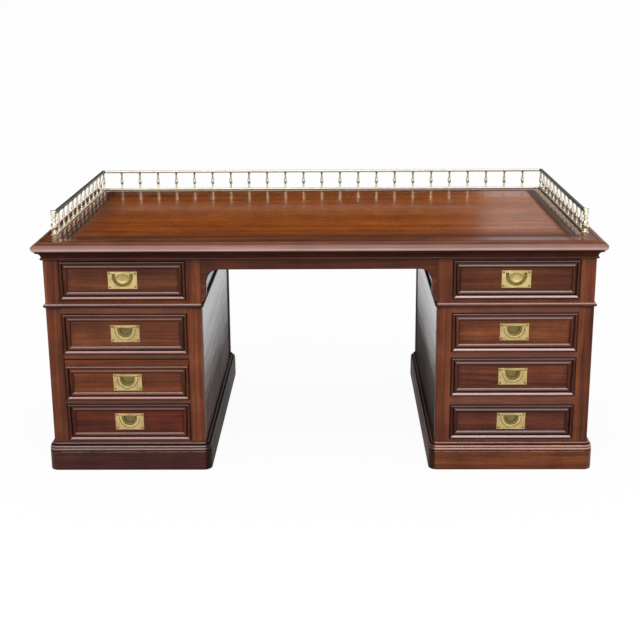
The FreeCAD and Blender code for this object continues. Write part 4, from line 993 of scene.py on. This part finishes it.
# Kneehole aprons with their brackets
APRON_DROP, APRON_THICK, APRON_SETBACK = 0.061, 0.022, 0.002
BRACKET_REACH, BRACKET_LEG, BRACKET_FOOT, BRACKET_STRAIGHT = 0.054, 0.017, 0.033, 0.026
BRACKET_SWELL_OUT, BRACKET_SWELL_UP = 0.0102, 0.0132
apron_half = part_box("kneehole_apron")[1].x
apron_foot = top_underside - APRON_DROP
curve = [(0, pedestal_head)]
ankle = (BRACKET_LEG, pedestal_head + BRACKET_FOOT)
swell = (BRACKET_SWELL_OUT, pedestal_head + BRACKET_SWELL_UP)
curve += round_through(curve[0], swell, ankle, BRACKET_STEPS)
curve.append((BRACKET_LEG, pedestal_head + BRACKET_FOOT + BRACKET_STRAIGHT))
curve += quarter_oval(curve[-1], (BRACKET_LEG, apron_foot), (BRACKET_REACH, apron_foot), APRON_STEPS)
mesh = bmesh.new()
for side in (-1, 1):
    front = side * (face - APRON_SETBACK)
    back = front - side * APRON_THICK
    outline = [(-apron_half, top_underside)]
    outline += [(-apron_half + reach, up) for reach, up in curve]
    outline += [(apron_half - reach, up) for reach, up in reversed(curve)]
    outline.append((apron_half, top_underside))
    prism(mesh, [(x, front, up) for x, up in outline], [(x, back, up) for x, up in outline])
piece("shaped_aprons", mesh, apron_wood, ["kneehole_apron"], arris=APRON_ARRIS)

# Gallery: rails, balusters and posts
foot_rail_low, foot_rail_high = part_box("gallery_foot_rail")
top_rail_low, top_rail_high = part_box("gallery_top_rail")
RAIL_WIDTH, FOOT_RAIL_ROUND, TOP_RAIL_ROUND = 0.013, 0.0026, 0.0040
BACK_BAYS, SIDE_BAYS, POST_SETBACK = 24, 12, 0.130
baluster_tall = top_rail_low.z - foot_rail_high.z
PAD, FLARE, STEM, RING, RING_HEIGHT, STEM_HEIGHT = 0.0018, 0.005, 0.0029, 0.004, 0.004, 0.0038
BALUSTER_FOOT, BELLY, BELLY_RISE, SHOULDER, SHOULDER_RISE = 0.0054, 0.0068, 0.0098, 0.0053, 0.0085
THROAT, NECK, BALUSTER_EASE, POST_EASE = 0.0038, 0.0028, 0.0004, 0.0006
BALUSTER_FACETS, POST_FACETS = 18, 32
flare_head = PAD + FLARE
ring_head = flare_head + RING_HEIGHT
vase_foot = ring_head + STEM_HEIGHT
belly_up = vase_foot + BELLY_RISE
shoulder_up = belly_up + SHOULDER_RISE
pad_foot = baluster_tall - PAD
upper_ring_head = pad_foot - FLARE
neck_head = upper_ring_head - RING_HEIGHT
section = [(BALUSTER_FOOT - BALUSTER_EASE, 0), (BALUSTER_FOOT, BALUSTER_EASE), (BALUSTER_FOOT, PAD)]
section += quarter_oval(section[-1], (STEM, PAD), (STEM, flare_head), FLARE_STEPS)
section += round_through(section[-1], (RING, (flare_head + ring_head) / 2), (STEM, ring_head), RING_STEPS)
section.append((STEM, vase_foot))
section += round_through(section[-1], (BELLY, belly_up), (SHOULDER, shoulder_up), BELLY_STEPS)
throat = (THROAT, (shoulder_up + neck_head) / 2)
section += round_through(section[-1], throat, (NECK, neck_head), NECK_STEPS)
upper_ring_crown = (RING, (neck_head + upper_ring_head) / 2)
section += round_through(section[-1], upper_ring_crown, (NECK, upper_ring_head), RING_STEPS)
section += quarter_oval(section[-1], (NECK, pad_foot), (BALUSTER_FOOT, pad_foot), FLARE_STEPS)
section.append((BALUSTER_FOOT, baluster_tall))
rail_half = top_rail_high.x - RAIL_WIDTH / 2
rail_rear = top_rail_high.y - RAIL_WIDTH / 2
rail_start = -top_half_y + POST_SETBACK
places = [(rail_half * (2 * bay / BACK_BAYS - 1), rail_rear) for bay in range(BACK_BAYS + 1)]
for side in (-1, 1):
    for bay in range(1, SIDE_BAYS):
        places.append((side * rail_half, rail_start + (rail_rear - rail_start) * bay / SIDE_BAYS))
mesh = bmesh.new()
for x, y in places:
    turning(mesh, section, x, y, foot_rail_high.z, BALUSTER_FACETS)
piece("turned_balusters", mesh, gallery_brass_painted_glare, ["gallery_balusters"])
for name, low, high, radius in (("foot_rail", foot_rail_low, foot_rail_high, FOOT_RAIL_ROUND),
                                ("top_rail", top_rail_low, top_rail_high, TOP_RAIL_ROUND)):
    mesh = bmesh.new()
    gallery_lengths(mesh, rounded_bar(RAIL_WIDTH / 2, low.z, high.z, radius), rail_half, low.y, rail_rear)
    piece(name + "_lengths", mesh, rail_brass_painted_glare, ["gallery_" + name])

POST_BASE, POST_NECK, POST_FLARE, POST_RING, POST_RING_HEIGHT = 0.012, 0.0064, 0.0048, 0.0094, 0.0042
POST_BELLY, POST_BELLY_RISE, POST_VASE_HEIGHT = 0.0112, 0.010, 0.0282
POST_THROAT, POST_UPPER_RING = 0.006, 0.0088
POST_CAP, POST_CAP_DROP, POST_CAP_FLARE, POST_CAP_ROUND, POST_CAP_FLAT = 0.010, 0.004, 0.0033, 0.0033, 0.0056
POST_GROOVE, POST_GROOVE_HEIGHT, POST_GROOVE_DROP = 0.002, 0.004, 0.0075
base_head = foot_rail_high.z - foot_rail_low.z
flare_head = base_head + POST_FLARE
ring_head = flare_head + POST_RING_HEIGHT
vase_head = ring_head + POST_VASE_HEIGHT
cap_foot = top_rail_low.z - top_level - POST_CAP_DROP
cap_flare_foot = cap_foot - POST_CAP_FLARE
cap_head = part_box("gallery_posts")[1].z - top_level
upper_ring = (vase_head + cap_flare_foot - POST_RING_HEIGHT) / 2
upper_ring_head = upper_ring + POST_RING_HEIGHT
section = [(POST_BASE - POST_EASE, 0), (POST_BASE, POST_EASE), (POST_BASE, base_head)]
section += quarter_oval(section[-1], (POST_NECK, base_head), (POST_NECK, flare_head), FLARE_STEPS)
ring_crown = (POST_RING, (flare_head + ring_head) / 2)
section += round_through(section[-1], ring_crown, (POST_NECK, ring_head), POST_RING_STEPS)
belly = (POST_BELLY, ring_head + POST_BELLY_RISE)
section += round_through(section[-1], belly, (POST_THROAT, vase_head), POST_VASE_STEPS)
section.append((POST_THROAT, upper_ring))
upper_ring_crown = (POST_UPPER_RING, (upper_ring + upper_ring_head) / 2)
section += round_through(section[-1], upper_ring_crown, (POST_THROAT, upper_ring_head), POST_RING_STEPS)
groove_head = cap_head - POST_GROOVE_DROP
groove_foot = groove_head - POST_GROOVE_HEIGHT
section += [(POST_THROAT, cap_flare_foot), (POST_CAP, cap_foot), (POST_CAP, groove_foot)]
groove = (POST_CAP - POST_GROOVE, (groove_foot + groove_head) / 2)
section += round_through(section[-1], groove, (POST_CAP, groove_head), POST_GROOVE_STEPS)
section.append((POST_CAP, cap_head - POST_CAP_ROUND))
section += quarter_oval(section[-1], (POST_CAP, cap_head), (POST_CAP_FLAT, cap_head), POST_CAP_STEPS)
mesh = bmesh.new()
for side in (-1, 1):
    turning(mesh, section, side * rail_half, rail_start, top_level, POST_FACETS)
piece("turned_posts", mesh, gallery_brass_painted_glare, ["gallery_posts"])

# Finishes of the nodes that stay as they were made
ROW_SEED, RIGHT_SEED, DOOR_TONGUE = 5.7, 13.0, 0.008
plain = {"top_panel": top_wood, "frieze_walls": side_wood, "frieze_frame": frieze_wood,
         "drawer_runners": lining_along, "door_hinges": fitting_brass}
for side in ("left", "right"):
    plain[side + "_pedestal_frame"] = frame_wood[side]
    plain[side + "_pedestal_sides"] = side_wood
    plain[side + "_pedestal_boards"] = lining_along
    plain[side + "_door_frame"] = door_wood
    plain[side + "_door_furniture"] = fitting_brass
    for number in range(1, 5):
        drawer = "%s_drawer_%d_" % (side, number)
        low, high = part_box(drawer + "front")
        head = high.z
        if side == "left" and number == 3:
            high.z -= LEFT_MIDDLE_STRIP
        seed = number * ROW_SEED + (RIGHT_SEED if side == "right" else 0.0)
        plain[drawer + "front"] = polished_wood(drawer + "front_polish", front_grain(low, high),
                                                FRONT_TONES[side, number], seed,
                                                grime_and_shade=front_shade(low, high, head),
                                                highlight_and_haze=front_highlight(low, high), highlight_tone=BEAD_HIGHLIGHT_TONES[side])
        plain[drawer + "box"] = lining_along
        plain[drawer + "handle"] = frieze_brass if number == 1 else plate_brass
        plain[drawer + "bail"] = frieze_bail_brass_painted_shade if number == 1 else bail_brass
    low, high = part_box(side + "_door_panel")
    tongue = Vector((DOOR_TONGUE, 0, DOOR_TONGUE))
    plain[side + "_door_panel"] = polished_wood(side + "_door_panel_polish", grain_z, REAR_TONES, 3.3,
                                                grime_and_shade=front_shade(low + tongue, high - tongue, high.z))
plain["rear_frieze_fronts"] = polished_wood("rear_front_polish", grain_x, REAR_TONES, 4.1)
for name, finish in plain.items():
    nodes[name].material_slots[0].material = finish

ease(nodes["top_panel"], PANEL_ARRIS, weld=True)
ease(nodes["frieze_walls"], WALL_ARRIS, weld=True)
for side in ("left", "right"):
    ease(nodes[side + "_pedestal_sides"], WALL_ARRIS, weld=True)
    for number in range(1, 5):
        ease(nodes["%s_drawer_%d_bail" % (side, number)], BAIL_ARRIS, 3, weld=True)

# Floor: white where it is seen, directly or in a gloss, with a share of plain paint that keeps the shadow
FLOOR_REACH, FLOOR_GLOW = 160.0, 0.95
SEEN_PAINT, UNSEEN_PAINT = (0.92, 0.92, 0.92, 1), (0.45, 0.44, 0.43, 1)
floor = Finish(bpy.data.materials.new("pale_floor"))
ray = floor.node("ShaderNodeLightPath", out="Is Camera Ray")
seen = ray.most(ray.other("Is Glossy Ray")).most(ray.other("Is Transmission Ray"))
tint = floor.blend(seen, UNSEEN_PAINT, SEEN_PAINT)
paint = floor.node("ShaderNodeBsdfPrincipled",
                   values={"Base Color": tint, "Roughness": 0.9, "Specular IOR Level": 0.0})
glow = floor.node("ShaderNodeEmission", values={"Color": (1, 1, 1, 1), "Strength": 1.0})
floor.node_out(floor.node("ShaderNodeMixShader", values={0: seen * FLOOR_GLOW, 1: paint, 2: glow}))
floor_mesh = bpy.data.meshes.new("floor")
turns = ((-1, -1), (1, -1), (1, 1), (-1, 1))
floor_mesh.from_pydata([(sx * FLOOR_REACH, sy * FLOOR_REACH, 0) for sx, sy in turns], [], [(0, 1, 2, 3)])
floor_mesh.materials.append(floor.owner)
floor_object = bpy.data.objects.new("floor", floor_mesh)
scene.collection.objects.link(floor_object)

# World: white behind the desk; other rays meet light overhead and in front, and a window at the right
SKY_LIGHT, SKY_GLOOM, SKY_RISE = 1.10, 0.015, (0.40, 0.85)
FRONT_LIGHT, FRONT_SIDE, FRONT_HEAD = 0.77, (-0.35, -0.15), (0.40, 0.70)
WINDOW_LIGHT, WINDOW_SLANT, WINDOW_BLUR = 0.80, 0.125, 0.008
WINDOW_SIDE, WINDOW_HEAD = (-0.2, 0.1), (0.30, 0.45)
MULLION_SHADE, MULLION_LEAN, MULLION_START, MULLION_END = 0.65, 0.85, 0.014, 0.30
MULLION_EDGE, MULLION_FADE = (-0.004, 0.008), (0.0, 0.03)
scene.world = bpy.data.worlds.new("studio")
room = Finish(scene.world)
direction = room.node("ShaderNodeTexCoord", out="Generated")
east = room.node("ShaderNodeSeparateXYZ", values={0: direction}, out="X")
north, up = east.other("Y"), east.other("Z")
sky = room.spread(up, *SKY_RISE, SKY_GLOOM, SKY_LIGHT)
window = room.spread(east - north * WINDOW_SLANT, -WINDOW_BLUR, WINDOW_BLUR)
window = window * room.spread(north, *WINDOW_SIDE)
mullion = room.spread(east - up * MULLION_LEAN - north * MULLION_START, *MULLION_EDGE)
mullion = mullion * room.spread(east - north * MULLION_END, *MULLION_FADE, 1.0, 0.0)
window = window * room.spread(up, *WINDOW_HEAD, WINDOW_LIGHT, 0.0) * (1 - mullion * MULLION_SHADE)
front = room.spread(north, *FRONT_SIDE, FRONT_LIGHT, 0.0) * room.spread(up, *FRONT_HEAD, 1.0, 0.0)
ray = room.node("ShaderNodeLightPath", out="Is Camera Ray")
level = ray + (1 - ray) * sky.most(window).most(front)
shade = room.ramp(level, [(0.0, (0, 0, 0, 1)), (1.0, (1, 1, 1, 1))])
background = room.node("ShaderNodeBackground", values={"Color": shade, "Strength": 1.0})
room.node_out(background, "ShaderNodeOutputWorld")


# Lamps
def lamp(name, place, target, size, energy):
    """A soft oblong lamp at a place, turned to its target."""
    light = bpy.data.lights.new(name, "AREA")
    light.shape = "RECTANGLE"
    light.size, light.size_y = size
    light.energy = energy
    holder = bpy.data.objects.new(name, light)
    holder.location = place
    holder.rotation_euler = (Vector(target) - Vector(place)).to_track_quat("-Z", "Y").to_euler()
    scene.collection.objects.link(holder)


lamp("overhead_softbox", (0.0, -1.7, 2.9), (0.0, -0.45, 0.6), (3.6, 0.8), 45.0)
lamp("rear_strip", (0.0, 2.3, 3.2), (0.0, -0.5, 0.75), (3.6, 0.6), 18.0)
lamp("front_fill", (-0.8, -5.0, 3.0), (0.0, 0.0, 0.4), (3.5, 2.5), 15.0)

# Camera
PITCH, YAW, ROLL = 0.2751, -0.0132, 0.0064
FOCAL_PIXELS, IMAGE_PIXELS, SENSOR = 1207.4, 640, 36.0
CAMERA_PLACE = Vector((0.052, -4.2628, 1.5753))
forward = Vector((math.sin(YAW) * math.cos(PITCH), math.cos(YAW) * math.cos(PITCH), -math.sin(PITCH)))
right = Vector((math.cos(YAW), -math.sin(YAW), 0))
down = forward.cross(right)
level_right = math.cos(ROLL) * right + math.sin(ROLL) * down
level_down = math.cos(ROLL) * down - math.sin(ROLL) * right
camera = bpy.data.cameras.new("camera")
camera.sensor_width = SENSOR
camera.lens = FOCAL_PIXELS / IMAGE_PIXELS * SENSOR
camera_object = bpy.data.objects.new("camera", camera)
scene.collection.objects.link(camera_object)
stand = Matrix((level_right, -level_down, -forward)).transposed().to_4x4()
stand.translation = CAMERA_PLACE
camera_object.matrix_world = stand
scene.camera = camera_object
